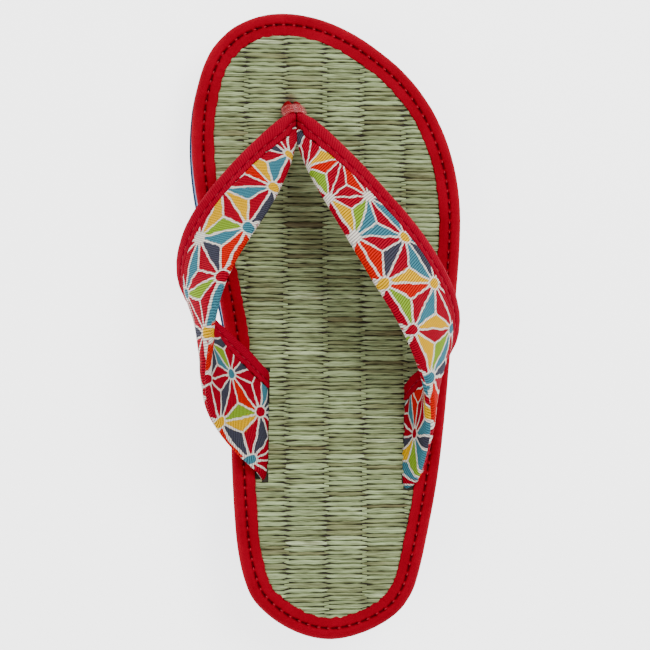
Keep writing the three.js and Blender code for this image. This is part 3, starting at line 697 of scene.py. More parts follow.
def build_mat():
    """The mat's core, a real layer coloured dark as painted shade where it shows through gaps and slots, and
    over it the rushes in columns between the warp lines.
    """
    core = sole_rings("tatami_core_look", [
        (inset, draw, raised(base_z, by), 0) for inset, draw, by in (
            (*CORE_RING, 0), (8.9, 0, 0), (8.0, 0, 1.3), (2.0, 0, 1.4), (1.6, 0, 2.25), (2.0, 0, 3.1),
            (8.9, 0, 3.2), (9.2, 0, 3.35), (*CORE_RING, 3.35),
        )
    ])
    # the rushes run on a little under the tape, and a little over the warp lines
    left, right = mat_limits(TAPE_REACH - 1.2)
    overlap = 0.9
    mat = {name: [] for name in ("verts", "faces", "tone", "grain", "rim", "thong_shadow")}
    for column, warps in enumerate(zip(WARPS, WARPS[1:])):
        y = TAPE_REACH - 1.0 + (column % 2) * RUSH_PITCH / 2
        fat = 0.0
        while y < L - TAPE_REACH + 1.2:
            # a fat rush is often followed by a thin one
            fat = -0.45 * fat + RNG.normal(0, 0.2)
            step = RUSH_PITCH * float(np.clip(1 + fat, 0.55, 1.5))
            mid = y + step / 2
            y += step
            if mid < left[0, 1] + 0.3 or mid > left[-1, 1] - 0.3:
                continue
            limits = np.interp(mid, left[:, 1], left[:, 0]), np.interp(mid, right[:, 1], right[:, 0])
            start, end = max(warps[0] - overlap, limits[0]), min(warps[1] + overlap, limits[1])
            if end - start < 1.2:
                continue
            for ends in free_stretches(start, end, mid):
                if ends[1] - ends[0] >= 1.0:
                    add_rush(mat, ends, warps, limits, mid, step, fat < -0.25)
    rushes = mesh_object("tatami_rushes_look", mat["verts"], mat["faces"])
    attribute(rushes, "tone", mat["tone"])
    attribute(rushes, "rim", mat["rim"])
    attribute(rushes, "thong_shadow", mat["thong_shadow"])
    attribute(rushes, "grain", mat["grain"], "FLOAT_VECTOR")
    # the core's near-black colour is painted shade where it shows through the gaps and slots
    core.data.materials.append(plain("rush mat core painted dark as shade", rgb(40, 33, 22), 0.9, 0.5))
    rushes.data.materials.append(rush_material())
    return core, rushes


def rush_material():
    """Dried rush, green to straw: fine strands along each rush, dark joints, painted shade at the edges of
    each row, a painted shadow behind the thong, and spots.
    """
    mat, n, shader = material("woven rush")
    where = n.attr("grain", "Vector")
    strands = n.stretched(where, (0.07, 1.8, 1.0), 3.0, 0.65)
    long_grain = n.stretched(where, (0.16, 4.2, 1.3), 3.0, 0.6)
    patch = n.stretched(where, (0.05, 0.12, 0.0), 2.0)
    tone = n.plus(n.attr("tone"), n.times(n.less(patch, 0.5), 0.55))
    colour = n.ramp(tone, [
        (0.0, rgb(112, 105, 68)), (0.25, rgb(137, 144, 98)), (0.5, rgb(158, 174, 124)),
        (0.75, rgb(180, 198, 146)), (1.0, rgb(210, 224, 178)),
    ])
    deep = n.mix(0.85, colour, rgb(116, 108, 76), "MULTIPLY")
    colour = n.mix(n.remap(strands, 0.36, 0.52, 0.95, 0.0), colour, deep)
    colour = n.mix(n.remap(long_grain, 0.38, 0.5, 0.7, 0.0), colour, deep)
    # each row shows the joints between its two or three rushes
    rim = n.attr("rim")
    joint_place = n.remap(n.stretched(where, (0.05, 0.0, 2.3), 2.0), 0.35, 0.65, 0.0, 0.6)
    off_joint = n.math("ABSOLUTE", n.less(rim, joint_place))
    open_joint = n.remap(n.stretched(where, (0.09, 0.0, 4.1), 2.0), 0.42, 0.58, 0.1, 0.8)
    colour = n.mix(n.times(n.remap(off_joint, 0.04, 0.17, 1.0, 0.0), open_joint), colour, deep)
    # painted shade in the gaps between rows, at the edges of each rush, stronger in some rows than others
    row_gap_shade = n.remap(n.stretched(where, (0.03, 0.0, 3.1), 2.0), 0.38, 0.62, 0.45, 1.0)
    colour = n.mix(n.times(n.remap(rim, 0.74, 0.98, 0.0, 0.96), row_gap_shade), colour, rgb(44, 38, 24))
    # painted shadow behind the thong, dark red
    colour = n.mix(n.times(n.attr("thong_shadow"), 0.85), colour, rgb(84, 34, 30))
    spots = n.stretched(where, (0.35, 0.6, 1.7), 3.0, 0.7)
    colour = n.mix(n.remap(spots, 0.66, 0.76, 0.0, 0.4), colour, rgb(124, 92, 56))
    n.link(colour, shader.inputs["Base Color"])
    n.link(n.remap(long_grain, 0.3, 0.7, 0.62, 0.45), shader.inputs["Roughness"])
    shader.inputs["Specular IOR Level"].default_value = 0.35
    height = n.plus(n.times(strands, 0.7), n.times(long_grain, 0.3))
    n.link(n.bump(height, 0.6, 0.0004), shader.inputs["Normal"])
    return mat


# Tape round the mat

# Section of the tape: (inset, height above the mat's underside), over its outer face from the
# mat round to the underside, then back along its inner face
EDGE_PROFILE = [
    (8.62, 3.95), (8.68, 4.2), (8.55, 4.42), (8.1, 4.5), (7.3, 4.56), (6.5, 4.58), (5.9, 4.55),
    (5.35, 4.47), (5.05, 4.4), (4.85, 4.32), (4.6, 4.28), (4.35, 4.32), (4.15, 4.42), (3.8, 4.54),
    (3.3, 4.64), (2.7, 4.65), (2.1, 4.53), (1.5, 4.28), (0.95, 3.85), (0.5, 3.3), (0.18, 2.7),
    (0.03, 2.2), (0.1, 1.6), (0.4, 0.95), (0.95, 0.4), (1.8, 0.1), (3.0, 0.0), (5.0, 0.0),
    (7.4, 0.0), (7.4, 0.7), (3.2, 0.75), (1.9, 1.15), (1.2, 2.2), (1.9, 3.1), (3.2, 3.5), (8.55, 3.55),
]
EDGE_STEPS = 1480


def build_edge_tape():
    """The folded tape, puckered by its row of stitches, and the knots of their thread."""
    points, inward, run, total = round_edge(EDGE_STEPS, TAPE_STITCH_INSET)
    stitches = round(total / STITCH_PITCH)
    pitch = total / stitches
    verts, seam_shade_mask, cloth = [], [], []
    phase = (run / pitch) % 1.0
    # slack cloth: small puckers between stitches, larger folds on the tight curves of the heel and
    # of the toe's big-toe side
    tight = np.exp(-((points[:, 1] - 222) / 16) ** 2) * (points[:, 0] < -20)
    tight = tight + np.exp(-((points[:, 1] - 10) / 14) ** 2)
    for inset, up in EDGE_PROFILE:
        inner = smooth(4.9, 8.2, inset) * (up > 3.6)
        roll = smooth(4.4, 2.6, inset) * (up > 1.5)
        draw_in = inner * (0.22 * wave_noise(run, 17, 3) + 0.16 * wave_noise(run, 6.3, 5)
                           + 0.3 * tight * wave_noise(run, 5.0, 8))
        lift = inner * (0.1 + 0.09 * wave_noise(run, 8.5, 4) + 0.22 * tight * wave_noise(run, 4.4, 9))
        lift = lift + roll * (0.07 * wave_noise(run, 11, 6) + 0.06 * np.sin(2 * math.pi * phase))
        off_stitch = inset - TAPE_STITCH_INSET
        near = math.exp(-(off_stitch / 0.4) ** 2) if up > 3.8 else 0.0
        wide = math.exp(-(off_stitch / 1.4) ** 2) if up > 3.8 else 0.0
        dash = smooth(0.16, 0.26, phase) * smooth(0.92, 0.84, phase)
        hole = np.exp(-(((phase - 0.84) * pitch) / 0.42) ** 2)
        lift = lift - near * (0.4 * dash + 0.6 * hole) - 0.12 * wide * hole
        flat = points + inward * (inset + draw_in)[:, None]
        z = base_z(flat[:, 1]) + up + lift
        verts.append(np.column_stack([flat, z]))
        # painted shade in the dents and holes of the stitches
        seam_shade_mask.append(np.clip(near * (0.95 * dash + hole), 0, 1))
        cloth.append(np.column_stack([run, np.full(EDGE_STEPS, inset - up), np.zeros(EDGE_STEPS)]))
    obj = mesh_object("edge_binding_look", np.vstack(verts),
                      grid_faces(len(EDGE_PROFILE), EDGE_STEPS, wrap_rows=True, wrap_cols=True))
    outward(obj)
    attribute(obj, "seam_shade", np.concatenate(seam_shade_mask))
    attribute(obj, "cloth", np.vstack(cloth), "FLOAT_VECTOR")
    obj.data.materials.append(RED_TAPE)
    return obj, stitch_knots(points, inward, run, pitch, stitches)


def bead(centre, along, wide, high, size):
    """A small rounded lump as vertices and faces: sizes along, across and up."""
    verts = []
    sides = 6
    rings = ((-0.9, 0.4), (-0.45, 0.9), (0.0, 1.0), (0.45, 0.9), (0.9, 0.4))
    for t, r in rings:
        for k in range(sides):
            a = 2 * math.pi * k / sides
            verts.append(centre + along * (size[0] * t) + wide * (size[1] * r * math.cos(a))
                         + high * (size[2] * r * math.sin(a)))
    faces = grid_faces(len(rings), sides, wrap_cols=True)
    faces.append(tuple(range(sides)))
    faces.append(tuple(range(len(verts) - sides, len(verts))))
    return verts, faces


def gather(name, beads):
    """One piece from many small lumps."""
    verts, faces = [], []
    for v, f in beads:
        base = len(verts)
        verts += [tuple(p) for p in v]
        faces += [tuple(base + i for i in face) for face in f]
    obj = mesh_object(name, verts, faces)
    outward(obj)
    return obj


def stitch_knots(points, inward, run, pitch, stitches):
    """A knot of thread between each two stitches of the edge tape."""
    beads = []
    up = np.array([0.0, 0.0, 1.0])
    for k in range(stitches):
        s = (k + 0.93 + 0.03 * RNG.normal()) * pitch
        i = int(np.searchsorted(run, s % run[-1])) % len(run)
        wide = np.append(inward[i], 0.0)
        along = np.cross(wide, up)
        flat = points[i] + inward[i] * (TAPE_STITCH_INSET + 0.1 * RNG.normal())
        centre = np.append(flat, base_z(flat[1]) + 4.3)
        beads.append(bead(centre, along, wide, up, (0.55, 0.26, 0.2)))
    obj = gather("edge_thread_look", beads)
    obj.data.materials.append(THREAD)
    return obj


# Straps

DYES = {
    "C": rgb(164, 0, 34), "V": rgb(206, 16, 4), "Y": rgb(232, 176, 0), "T": rgb(66, 126, 142),
    "G": rgb(132, 168, 44), "K": rgb(64, 65, 78), "W": rgb(240, 233, 220),
}


def rail(points, count):
    """A smooth line through points (centripetal), as count samples at equal shares."""
    p = np.asarray(points, float)
    p = np.vstack([2 * p[0] - p[1], p, 2 * p[-1] - p[-2]])
    n = len(points) - 1
    out = []
    for t in np.linspace(0, n, count):
        i = min(int(t), n - 1)
        w = t - i
        a, b, c, d = p[i], p[i + 1], p[i + 2], p[i + 3]
        d0, d1, d2 = (max(np.linalg.norm(v) ** 0.5, 1e-4) for v in (b - a, c - b, d - c))
        t1 = ((b - a) / d0 - (c - a) / (d0 + d1) + (c - b) / d1) * d1
        t2 = ((c - b) / d1 - (d - b) / (d1 + d2) + (d - c) / d2) * d1
        out.append((2 * w**3 - 3 * w**2 + 1) * b + (w**3 - 2 * w**2 + w) * t1
                   + (3 * w**2 - 2 * w**3) * c + (w**3 - w**2) * t2)
    return np.array(out)


def strap_point(along, across, rise):
    """A point from its shares of the sole's length and width and of the straps' rise."""
    y = along * L
    return np.array([across * W, y, float(mat_z(y)) + rise * STRAP_RISE])


class Band:
    """One strap: its edges, directions and measures at equal steps."""

    def __init__(self, rows, side, steps):
        self.taped = rail([strap_point(*r[:3]) for r in rows], steps)
        self.fold = rail([strap_point(*r[3:]) for r in rows], steps)
        span = self.taped - self.fold
        self.width = np.linalg.norm(span, axis=1)
        self.across = span / self.width[:, None]
        run = np.gradient(self.taped, axis=0) + np.gradient(self.fold, axis=0)
        run /= np.linalg.norm(run, axis=1)[:, None]
        face = np.cross(self.across, run) * side
        self.face = face / np.linalg.norm(face, axis=1)[:, None]
        self.share = np.linspace(0, 1, steps)
        middle = (self.taped + self.fold) / 2
        step = np.linalg.norm(np.diff(middle, axis=0), axis=1)
        self.run = np.concatenate([[0], np.cumsum(step)])
        full = STRAP_DEPTH_TOE + (STRAP_DEPTH - STRAP_DEPTH_TOE) * smooth(0, 0.25, self.share)
        self.depth = full + (STRAP_DEPTH_FOOT - full) * smooth(0.7, 0.92, self.share)
        self.reach = np.minimum(STRAP_TAPE, self.width * 0.6)
        self.side = side
        self.steps = steps

    def place(self, across, out):
        """Points a way from the folded edge and a way out of the strap's middle face."""
        return self.fold + self.across * np.asarray(across)[:, None] + self.face * np.asarray(out)[:, None]


def foot_spots(band):
    """Places on the padded strap where it passes through the top of the mat."""
    spots = []
    for t in np.linspace(0.0, 1.0, 30):
        for sign in (-1, 0, 1):
            at = band.place(band.width * t, sign * band.depth * 0.5)
            high = at[:, 2] - mat_z(at[:, 1])
            spots.append(at[(high > -1.0) & (high < 0.5) & (band.share > 0.6)])
    return np.vstack(spots)


def crease(band, u, outer):
    """Folds and soft dents of the padded cloth, placed one by one, in millimetres outward."""
    s, v = band.share, band.run
    inner_edge = np.exp(-((u - 3.5) / 4.0) ** 2)
    out = 0.16 * field_noise(u, v, 13.0, 21 + int(outer)) * smooth(0, 4, u)
    if outer:
        out = out - 0.55 * np.exp(-((s - 0.60) / 0.018) ** 2) * np.exp(-((u - band.width * 0.2) / 7) ** 2)
        out = out - 0.4 * np.exp(-((s - 0.655) / 0.014) ** 2) * inner_edge
        out = out - 0.35 * np.exp(-((s - 0.705) / 0.012) ** 2) * inner_edge
    else:
        out = out + 0.4 * np.exp(-((s - 0.62) / 0.016) ** 2) * inner_edge
    # tension folds that run back from the point of the straps
    for k, (place, lean) in enumerate(((0.3, 0.05), (0.62, 0.12))):
        line = u - band.width * (place + lean * s)
        out = out - 0.3 * np.exp(-(line / 1.1) ** 2) * smooth(0.26, 0.05, s) * (1 - 0.4 * k)
    return out


def smooth_map(points):
    """A smooth map through chosen places: gives the pattern place for any spot on the cloth."""
    spots = np.array([p[:2] for p in points], float)
    wanted = np.array([p[2:] for p in points], float)
    count = len(points)
    spread = 20.0

    def bend(d2):
        return 0.5 * d2 * np.log(np.maximum(d2, 1e-9))

    flat = np.column_stack([np.ones(count), spots])
    d2 = ((spots[:, None] - spots[None]) ** 2).sum(2) / spread ** 2
    top = np.hstack([bend(d2) + 0.02 * np.eye(count), flat])
    low = np.hstack([flat.T, np.zeros((3, 3))])
    answer = np.linalg.solve(np.vstack([top, low]), np.vstack([wanted, np.zeros((3, 2))]))

    def place(u, v):
        at = np.column_stack([np.ravel(u), np.ravel(v)])
        d2 = ((at[:, None] - spots[None]) ** 2).sum(2) / spread ** 2
        return bend(d2) @ answer[:count] + np.column_stack([np.ones(len(at)), at]) @ answer[count:]

    return place


def petal_colours(p, q, chart, dots, seed):
    """Colours of the petal and of the nearest star's middle for each pattern place."""
    rng = np.random.default_rng(seed)
    spare = {}

    def letter(table, key, k=0):
        if key in table:
            return table[key][k]
        if (id(table), key, k) not in spare:
            spare[(id(table), key, k)] = SPARE_PETALS[int(rng.integers(len(SPARE_PETALS)))]
        return spare[(id(table), key, k)]

    petals, middles = [], []
    for a, b in zip(p, q):
        i, j = math.floor(a), math.floor(b)
        f, g = a - i, b - j
        upper = f + g > 1
        shares = (f + g - 1, 1 - f, 1 - g) if upper else (1 - f - g, f, g)
        away = shares.index(min(shares))
        if upper:
            corners = ((i + 1, j + 1), (i, j + 1), (i + 1, j))
        else:
            corners = ((i, j), (i + 1, j), (i, j + 1))
        petals.append(DYES[letter(chart, (i, j), away + 3 * upper)])
        middle = letter(dots, corners[shares.index(max(shares))])
        middles.append(DYES[middle][:3] + (0.3 if middle == "W" else 1.0,))
    return np.array(petals), np.array(middles)


# Swell of the padded cloth: share of the way from fold to tape, and share of half the depth
PAD_PLACES = (0, 0.012, 0.035, 0.07, 0.12, 0.2, 0.3, 0.46, 0.65, 0.8, 0.92, 1.0)
PAD_SWELL = (0, 0.32, 0.55, 0.72, 0.84, 0.94, 0.985, 1.0, 0.98, 0.94, 0.88, 0.78)
# Where the cloth runs on, thinner, inside the tape: way past the padding, and half its thickness
TUCKED = ((0.1, 0.85), (2.0, 0.8), (3.6, 0.6))
PAD_ROWS = 50


def build_band(name, band, pattern):
    """The padded, printed cloth of one strap, folded double."""
    front, back, wrap_to = pattern
    rows = np.linspace(0, 1, PAD_ROWS)
    rows = rows - 0.06 * np.sin(2 * math.pi * rows)
    padded = band.width - band.reach - 0.3
    verts, spots = [], []

    def add(u, out, sign):
        verts.append(band.place(u, out))
        spots.append(np.column_stack([band.width - u, band.run, np.full(band.steps, sign)]))

    def add_face(shares, sign):
        for t in shares:
            half = 0.03 + float(np.interp(t, PAD_PLACES, PAD_SWELL)) * band.depth / 2
            dents = crease(band, t * padded, sign > 0) * smooth(0.0, 0.12, t)
            add(t * padded, (half + dents) * sign, sign)

    add_face(rows, 1.0)
    for sign, insets in ((1.0, TUCKED), (-1.0, TUCKED[::-1])):
        for inset, thick in insets:
            u = np.minimum(padded + inset, band.width - 2.2)
            add(u, np.full(band.steps, sign * thick), sign)
    add_face(rows[::-1], -1.0)

    verts = np.array(verts)
    clamp_seam(verts, band.side, 0.0)
    faces = grid_faces(len(verts), band.steps, wrap_rows=True)
    for end in (0, band.steps - 1):
        faces.append(tuple(row * band.steps + end for row in range(len(verts))))
    obj = mesh_object(name, verts.reshape(-1, 3), faces)
    outward(obj)
    print_cloth(obj, band, np.array(spots).reshape(-1, 3), front, back, wrap_to)
    return obj


def print_cloth(obj, band, spots, front, back, wrap_to):
    """Stores the star pattern's places and colours for each (from the tape, along, face) spot."""
    from_tape, along, face = spots.T
    whole = 2 * np.tile(band.width, len(spots) // band.steps)
    round_fold = np.where(face > 0, from_tape, whole - from_tape)
    is_front = (face > 0) | (along < wrap_to)
    star = np.where(is_front[:, None], smooth_map(front[0])(round_fold, along),
                    smooth_map(back[0])(from_tape, along))
    petals = np.zeros((len(spots), 4))
    middles = np.zeros((len(spots), 4))
    for side, (_, chart, dots), seed in ((is_front, front, 5), (~is_front, back, 9)):
        petals[side], middles[side] = petal_colours(star[side, 0], star[side, 1], chart, dots, seed)
    flat = np.zeros(len(spots))
    attribute(obj, "star", np.column_stack([star, flat]), "FLOAT_VECTOR")
    attribute(obj, "cloth", np.column_stack([from_tape * face * band.side, along, flat]), "FLOAT_VECTOR")
    attribute(obj, "petal", petals, "FLOAT_COLOR")
    attribute(obj, "middle", middles, "FLOAT_COLOR")


def clamp_seam(verts, side, gap):
    """Near the toe the two straps press together on one upright plane."""
    x = verts[..., 0]
    limit = SEAM_X - side * gap
    verts[..., 0] = np.minimum(x, limit) if side > 0 else np.maximum(x, limit)


# Section of the tape on a strap, its outer half: share of the reach from the strap's edge, and
# share of half the depth; then the inside of both halves
STRAP_PROFILE = [
    (1.0, 0.74), (1.01, 0.9), (0.96, 1.0), (0.88, 1.03), (0.79, 1.02), (0.73, 0.96), (0.70, 0.9),
    (0.67, 0.86), (0.64, 0.9), (0.6, 0.97), (0.52, 1.03), (0.4, 1.06), (0.28, 1.02), (0.17, 0.9),
    (0.08, 0.68), (0.02, 0.38), (0.0, 0.0),
]
STRAP_PROFILE_INSIDE = [
    (0.99, -0.6), (0.6, -0.58), (0.3, -0.5), (0.2, 0.0), (0.3, 0.5), (0.6, 0.58), (0.99, 0.6),
]
STRAP_TAPE_HALF = 2.1
STRAP_STITCH_SHARE = 0.67


def build_strap_tape(name, band, seed):
    """The tape folded round a strap's front edge, and its stitches."""
    run = band.run
    phase = (run / STITCH_PITCH) % 1.0
    dash = smooth(0.15, 0.3, phase) * smooth(0.85, 0.7, phase)
    rows = STRAP_PROFILE + [(a, -b) for a, b in STRAP_PROFILE[-2::-1]] + STRAP_PROFILE_INSIDE
    verts, seam_shade_mask, cloth = [], [], []
    around = 0.0
    before = None
    for share, h in rows:
        lip = float(smooth(0.76, 0.95, share))
        roll = float(smooth(0.62, 0.4, share))
        draw_in = lip * (0.28 * wave_noise(run, 9.0, seed) + 0.16 * wave_noise(run, 3.7, seed + 1))
        swell = lip * 0.12 * wave_noise(run, 6.0, seed + 2)
        swell = swell + roll * 0.1 * wave_noise(run, 7.5, seed + 3) * abs(h)
        near = math.exp(-((share - STRAP_STITCH_SHARE) / 0.03) ** 2) if abs(h) > 0.7 else 0.0
        swell = swell - near * 0.12 * dash
        across = band.width - share * band.reach - draw_in
        verts.append(band.place(across, h * STRAP_TAPE_HALF + np.sign(h) * swell))
        here = (share * STRAP_TAPE, h * STRAP_TAPE_HALF)
        around += math.dist(here, before or here)
        before = here
        # painted shade along the groove of the seam, at the row of stitches
        seam_shade_mask.append(np.full(band.steps, near * 0.75))
        cloth.append(np.column_stack([run, np.full(band.steps, around), np.zeros(band.steps)]))
    verts = np.array(verts)
    clamp_seam(verts, band.side, 0.12)
    obj = mesh_object(name, verts.reshape(-1, 3), grid_faces(len(rows), band.steps, wrap_rows=True))
    outward(obj)
    attribute(obj, "seam_shade", np.concatenate(seam_shade_mask))
    attribute(obj, "cloth", np.array(cloth).reshape(-1, 3), "FLOAT_VECTOR")
    obj.data.materials.append(STRAP_RED)
    return obj, strap_stitches(name.replace("_look", "_thread_look"), band)


def strap_stitches(name, band):
    """The visible stitches on both faces of a strap's tape, except on its narrow toe end."""
    beads = []
    for k in range(int(band.run[-1] / STITCH_PITCH)):
        i = int(np.searchsorted(band.run, (k + 0.5) * STITCH_PITCH))
        if i >= band.steps - 2 or band.width[i] < 9:
            continue
        along = band.taped[i + 1] - band.taped[i - 1]
        along /= np.linalg.norm(along)
        for sign in (1, -1):
            from_fold = band.width[i] - STRAP_STITCH_SHARE * band.reach[i]
            spot = band.fold[i] + band.across[i] * from_fold
            spot = spot + band.face[i] * sign * (0.86 * STRAP_TAPE_HALF - 0.02)
            beads.append(bead(spot, along, band.across[i], band.face[i], (1.1, 0.16, 0.16)))
    thread = gather(name, beads)
    thread.data.materials.append(THREAD)
    return thread


def hemp_leaf_material():
    """Hemp-leaf print: every triangle of stars holds three petals with cream lines between."""
    mat, n, shader = material("printed crepe")
    cloth = n.attr("cloth", "Vector")
    wobble = n.new("ShaderNodeTexNoise")
    wobble.inputs["Scale"].default_value = 0.3
    wobble.inputs["Detail"].default_value = 1.0
    n.link(cloth, wobble.inputs["Vector"])
    shift = n.new("ShaderNodeVectorMath", operation="MULTIPLY_ADD")
    n.link(wobble.outputs["Color"], shift.inputs[0])
    shift.inputs[1].default_value = (0.06, 0.06, 0.0)
    n.link(n.attr("star", "Vector"), shift.inputs[2])
    sep = n.new("ShaderNodeSeparateXYZ")
    n.link(shift.outputs[0], sep.inputs[0])

    # shares of the three corners of a spot's triangle, as least, middle and most
    f = n.math("FRACT", n.less(sep.outputs[0], 0.03))
    g = n.math("FRACT", n.less(sep.outputs[1], 0.03))
    total = n.plus(f, g)
    upper = n.math("GREATER_THAN", total, 1.0)
    corners = [n.math("ABSOLUTE", n.less(a, b)) for a, b in ((1.0, total), (upper, f), (upper, g))]
    least = n.math("MINIMUM", corners[0], n.math("MINIMUM", corners[1], corners[2]))
    most = n.math("MAXIMUM", corners[0], n.math("MAXIMUM", corners[1], corners[2]))
    middle = n.less(n.less(1.0, least), most)

    # how deep a spot lies inside its petal, and how far from the nearest star's middle
    tall = STAR_STEP * 0.866
    to_edge = n.times(least, tall)
    to_spoke = n.times(n.less(middle, least), tall / 1.732)
    inside = n.math("SMOOTH_MIN", to_edge, to_spoke, 1.0)
    square = n.plus(n.times(least, least), n.times(middle, middle))
    square = n.plus(square, n.times(least, middle))
    radius = n.times(n.math("SQRT", square), STAR_STEP)

    ragged = n.times(n.less(n.noise(cloth, 0.8, 3.0), 0.5), 0.55)
    petal_mask = n.remap(n.less(inside, n.plus(0.3, ragged)), 0.0, 0.14, 0.0, 1.0)
    # the ring round a star's middle; a cream star has hardly any
    ring = n.times(n.attr("middle", "Alpha"), 2.35)
    off_ring = n.less(n.plus(radius, ragged), ring)
    petal_mask = n.times(petal_mask, n.remap(off_ring, 0.0, 0.15, 0.0, 1.0))
    off_dot = n.less(n.plus(radius, n.times(ragged, 0.6)), ring)
    dot_mask = n.remap(off_dot, -0.6, -0.45, 1.0, 0.0)

    weave = use_group(n, WEAVE, Vector=cloth, Pitch=2.05, Slant=2.4, Cross=0.15)
    colour = n.mix(petal_mask, DYES["W"], n.attr("petal", "Color"))
    colour = n.mix(dot_mask, colour, n.attr("middle", "Color"))
    # painted shade in the valleys of the crepe's weave
    valley = n.mix(1.0, colour, rgb(146, 138, 142), "MULTIPLY")
    colour = n.mix(weave.outputs["Shade"], valley, colour)
    n.link(colour, shader.inputs["Base Color"])
    matt(shader, 0.85, 0.04)
    n.link(n.bump(weave.outputs["Height"], 0.5, 0.0003), shader.inputs["Normal"])
    return mat


# Toe post and its clear sleeve

POST_LAST = 199
POST_AROUND = 2 * math.pi * np.arange(64) / 64
POST_STEPS = 40
SIDEWAYS = np.array([1.0, 0.0, 0.0])


def post_line():
    """The toe post's middle line at equal shares, and its forward directions."""
    line = rail([strap_point(*r) for r in POST], POST_LAST + 1)
    front = np.cross(np.gradient(line, axis=0), SIDEWAYS)
    return line, front / np.linalg.norm(front, axis=1)[:, None]


def build_post():
    """The thong: cloth folded double, with a cleft where its edges meet."""
    line, front = post_line()
    shares = np.linspace(0.0, POST_TO, POST_STEPS)
    x = np.sin(POST_AROUND) * POST_WIDE / 2
    y = np.cos(POST_AROUND) * POST_DEEP / 2 * (1 - POST_CLEFT * np.exp(-(x ** 2)))
    verts = []
    for t in shares:
        i = round(t * POST_LAST)
        swell = 1 + 0.02 * np.sin(POST_AROUND * 5 + t * 9)
        verts.append(line[i] + np.outer(x * swell, SIDEWAYS) + np.outer(y * swell, front[i]))
    around = len(POST_AROUND)
    faces = grid_faces(POST_STEPS, around, wrap_cols=True)
    faces.append(tuple(range(around)))
    faces.append(tuple(range((POST_STEPS - 1) * around, POST_STEPS * around)))
    post = mesh_object("toe_post_look", np.vstack(verts), faces)
    outward(post)
    run = np.repeat(shares * POST_CLOTH_LONG, around)
    turn = np.tile(np.arange(around) / around * POST_CLOTH_WIDE, POST_STEPS)
    attribute(post, "cloth", np.column_stack([run, turn, np.zeros(len(run))]), "FLOAT_VECTOR")
    # painted shade along the cleft where the cloth's edges meet
    attribute(post, "seam_shade", np.tile(np.exp(-((x / 0.55) ** 2)) * 0.9, POST_STEPS))
    post.data.materials.append(red_cloth("red thong cloth", rgb(160, 6, 24), rgb(132, 2, 18)))
    return post


def build_sleeve():
    """The clear sleeve round the thong, its lower end cut on a slant, higher at the front."""
    line, front = post_line()
    slant = SLEEVE_SLANT * (1 + np.cos(POST_AROUND)) / 2
    layers = []
    for layer in (0.0, -SLEEVE_WALL):
        x = np.sin(POST_AROUND) * (SLEEVE_WIDE / 2 + layer)
        y = np.cos(POST_AROUND) * (SLEEVE_DEEP / 2 + layer)
        rings = []
        for t in np.linspace(SLEEVE_FROM, SLEEVE_TO, POST_STEPS):
            rest = (SLEEVE_TO - t) / (SLEEVE_TO - SLEEVE_FROM)
            places = np.rint((t + slant * rest) * POST_LAST).astype(int)
            swell = 1 + 0.015 * np.sin(t * 46 + np.cos(POST_AROUND) * 2)
            ring = np.outer(x * swell, SIDEWAYS) + np.outer(y * swell, front[round(t * POST_LAST)])
            rings.append(line[np.minimum(places, POST_LAST)] + ring)
        layers.append(rings)
    rings = layers[0] + layers[1][::-1]
    faces = grid_faces(len(rings), len(POST_AROUND), wrap_rows=True, wrap_cols=True)
    sleeve = mesh_object("toe_sleeve_look", np.vstack(rings), faces)
    outward(sleeve)
    sleeve.data.materials.append(sleeve_material())
    return sleeve


def sleeve_material():
    """Clear soft plastic, its colour a painted pink for the red thong's light showing through it, cloudier
    in fine rings.
    """
    mat, n, shader = material("clear sleeve")
    place = n.new("ShaderNodeTexCoord").outputs["Object"]
    rings = n.stretched(place, (200.0, 700.0, 700.0), 1.0)
    # painted pink for the red thong's light showing through the clear plastic
    shader.inputs["Base Color"].default_value = rgb(214, 110, 112)
    shader.inputs["IOR"].default_value = 1.45
    matt(shader, 0.28, 0.3)
    n.link(n.remap(rings, 0.4, 0.6, 0.14, 0.42), shader.inputs["Alpha"])
    n.link(n.bump(rings, 0.06, 0.0003), shader.inputs["Normal"])
    return mat


# All pieces; the straps' bands come first, because the mat leaves room for their feet

STRAP_STEPS = 300
medial, lateral = Band(MEDIAL, 1, STRAP_STEPS), Band(LATERAL, -1, STRAP_STEPS)
FEET = [foot_spots(medial), foot_spots(lateral)]
outsole, midsole = build_sole()
mat_core, rushes = build_mat()
edge_tape, edge_thread = build_edge_tape()
band_m = build_band("strap_medial_look", medial, MEDIAL_PRINT)
band_l = build_band("strap_lateral_look", lateral, LATERAL_PRINT)
printed_crepe = hemp_leaf_material()
band_m.data.materials.append(printed_crepe)
band_l.data.materials.append(printed_crepe)
tape_m, thread_m = build_strap_tape("strap_binding_medial_look", medial, 31)
tape_l, thread_l = build_strap_tape("strap_binding_lateral_look", lateral, 41)
post = build_post()
sleeve = build_sleeve()

# Each piece, the CAD node that it stands for, and its material slot
PIECES = [
    (outsole, "outsole", "outsole_rubber"), (midsole, "midsole", "sole_foam"),
    (mat_core, "tatami_insole", "rush_mat"), (rushes, "tatami_insole", "rush_mat"),
    (edge_tape, "edge_binding", "binding_cloth"), (edge_thread, "edge_binding", "binding_cloth"),
    (band_m, "strap_upper", "strap_cloth"), (band_l, "strap_upper", "strap_cloth"),
    (tape_m, "strap_binding_medial", "binding_cloth"), (thread_m, "strap_binding_medial", "binding_cloth"),
    (tape_l, "strap_binding_lateral", "binding_cloth"), (thread_l, "strap_binding_lateral", "binding_cloth"),
    (post, "toe_post", "thong_cloth"), (sleeve, "toe_sleeve", "clear_sleeve"),
]
for piece, node, slot_name in PIECES:
    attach(piece, "root")
    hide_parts(node)


# Floor, light and camera

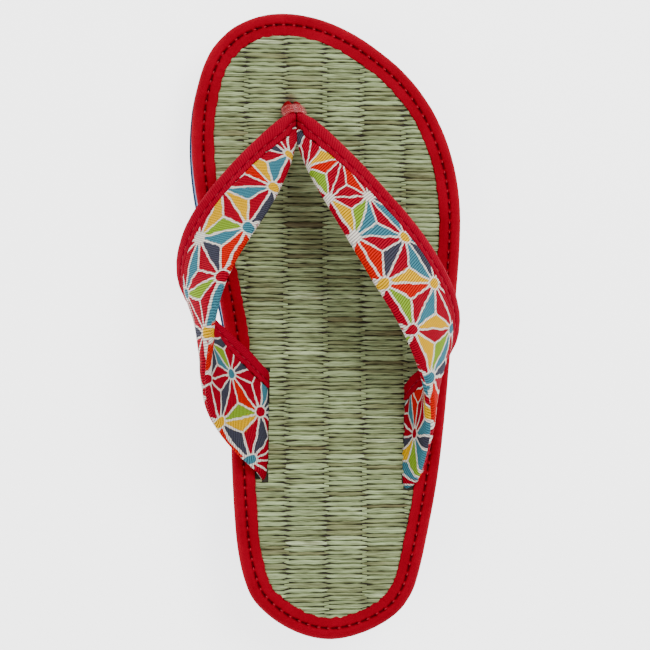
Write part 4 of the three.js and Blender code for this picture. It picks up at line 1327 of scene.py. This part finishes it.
bpy.ops.mesh.primitive_plane_add(size=6)
floor = bpy.context.object
floor.name = "floor"
floor.location = (0, 0, -0.0002)
pale_floor, _, floor_shader = material("pale floor")
floor_shader.inputs["Base Color"].default_value = (0.93, 0.93, 0.93, 1)
floor_shader.inputs["Emission Color"].default_value = (1, 1, 1, 1)
floor_shader.inputs["Emission Strength"].default_value = 2.6
matt(floor_shader, 0.9, 0.1)
floor.data.materials.append(pale_floor)

world = bpy.data.worlds.new("studio")
bpy.context.scene.world = world
world.use_nodes = True
sky = world.node_tree.nodes["Background"]
sky.inputs["Color"].default_value = (1, 1, 1, 1)
sky.inputs["Strength"].default_value = 0.62


def area_light(name, place, aim, size, power):
    """A square light at a place in metres, turned toward its aim."""
    data = bpy.data.lights.new(name, "AREA")
    data.shape = "SQUARE"
    data.size = size
    data.energy = power
    obj = bpy.data.objects.new(name, data)
    bpy.context.scene.collection.objects.link(obj)
    obj.location = place
    obj.rotation_euler = (Vector(aim) - Vector(place)).to_track_quat("-Z", "Y").to_euler()


SOLE_MIDDLE = (0.0, 0.07, 0.02)
area_light("key", (0.45, 0.6, 1.0), SOLE_MIDDLE, 0.6, 13)
area_light("fill", (-0.8, -0.2, 0.9), SOLE_MIDDLE, 0.9, 7)

# Height of the picture at the sandal, in metres
VIEW_HEIGHT = 0.2484
camera = bpy.data.objects.new("camera", bpy.data.cameras.new("camera"))
bpy.context.scene.collection.objects.link(camera)
bpy.context.scene.camera = camera
aim = Vector((-0.003, 0.0708, 0.026))
camera.location = Vector((-0.0508, 0.0695, 0.584))
ahead = (aim - camera.location).normalized()
across = ahead.cross(Vector((0, 1, 0))).normalized()
camera.rotation_euler = Matrix((across, across.cross(ahead), -ahead)).transposed().to_euler()
camera.data.lens_unit = "MILLIMETERS"
camera.data.sensor_fit = "VERTICAL"
camera.data.sensor_height = 36.0
camera.data.lens = camera.data.sensor_height * (aim - camera.location).length / VIEW_HEIGHT
camera.data.clip_start = 0.01

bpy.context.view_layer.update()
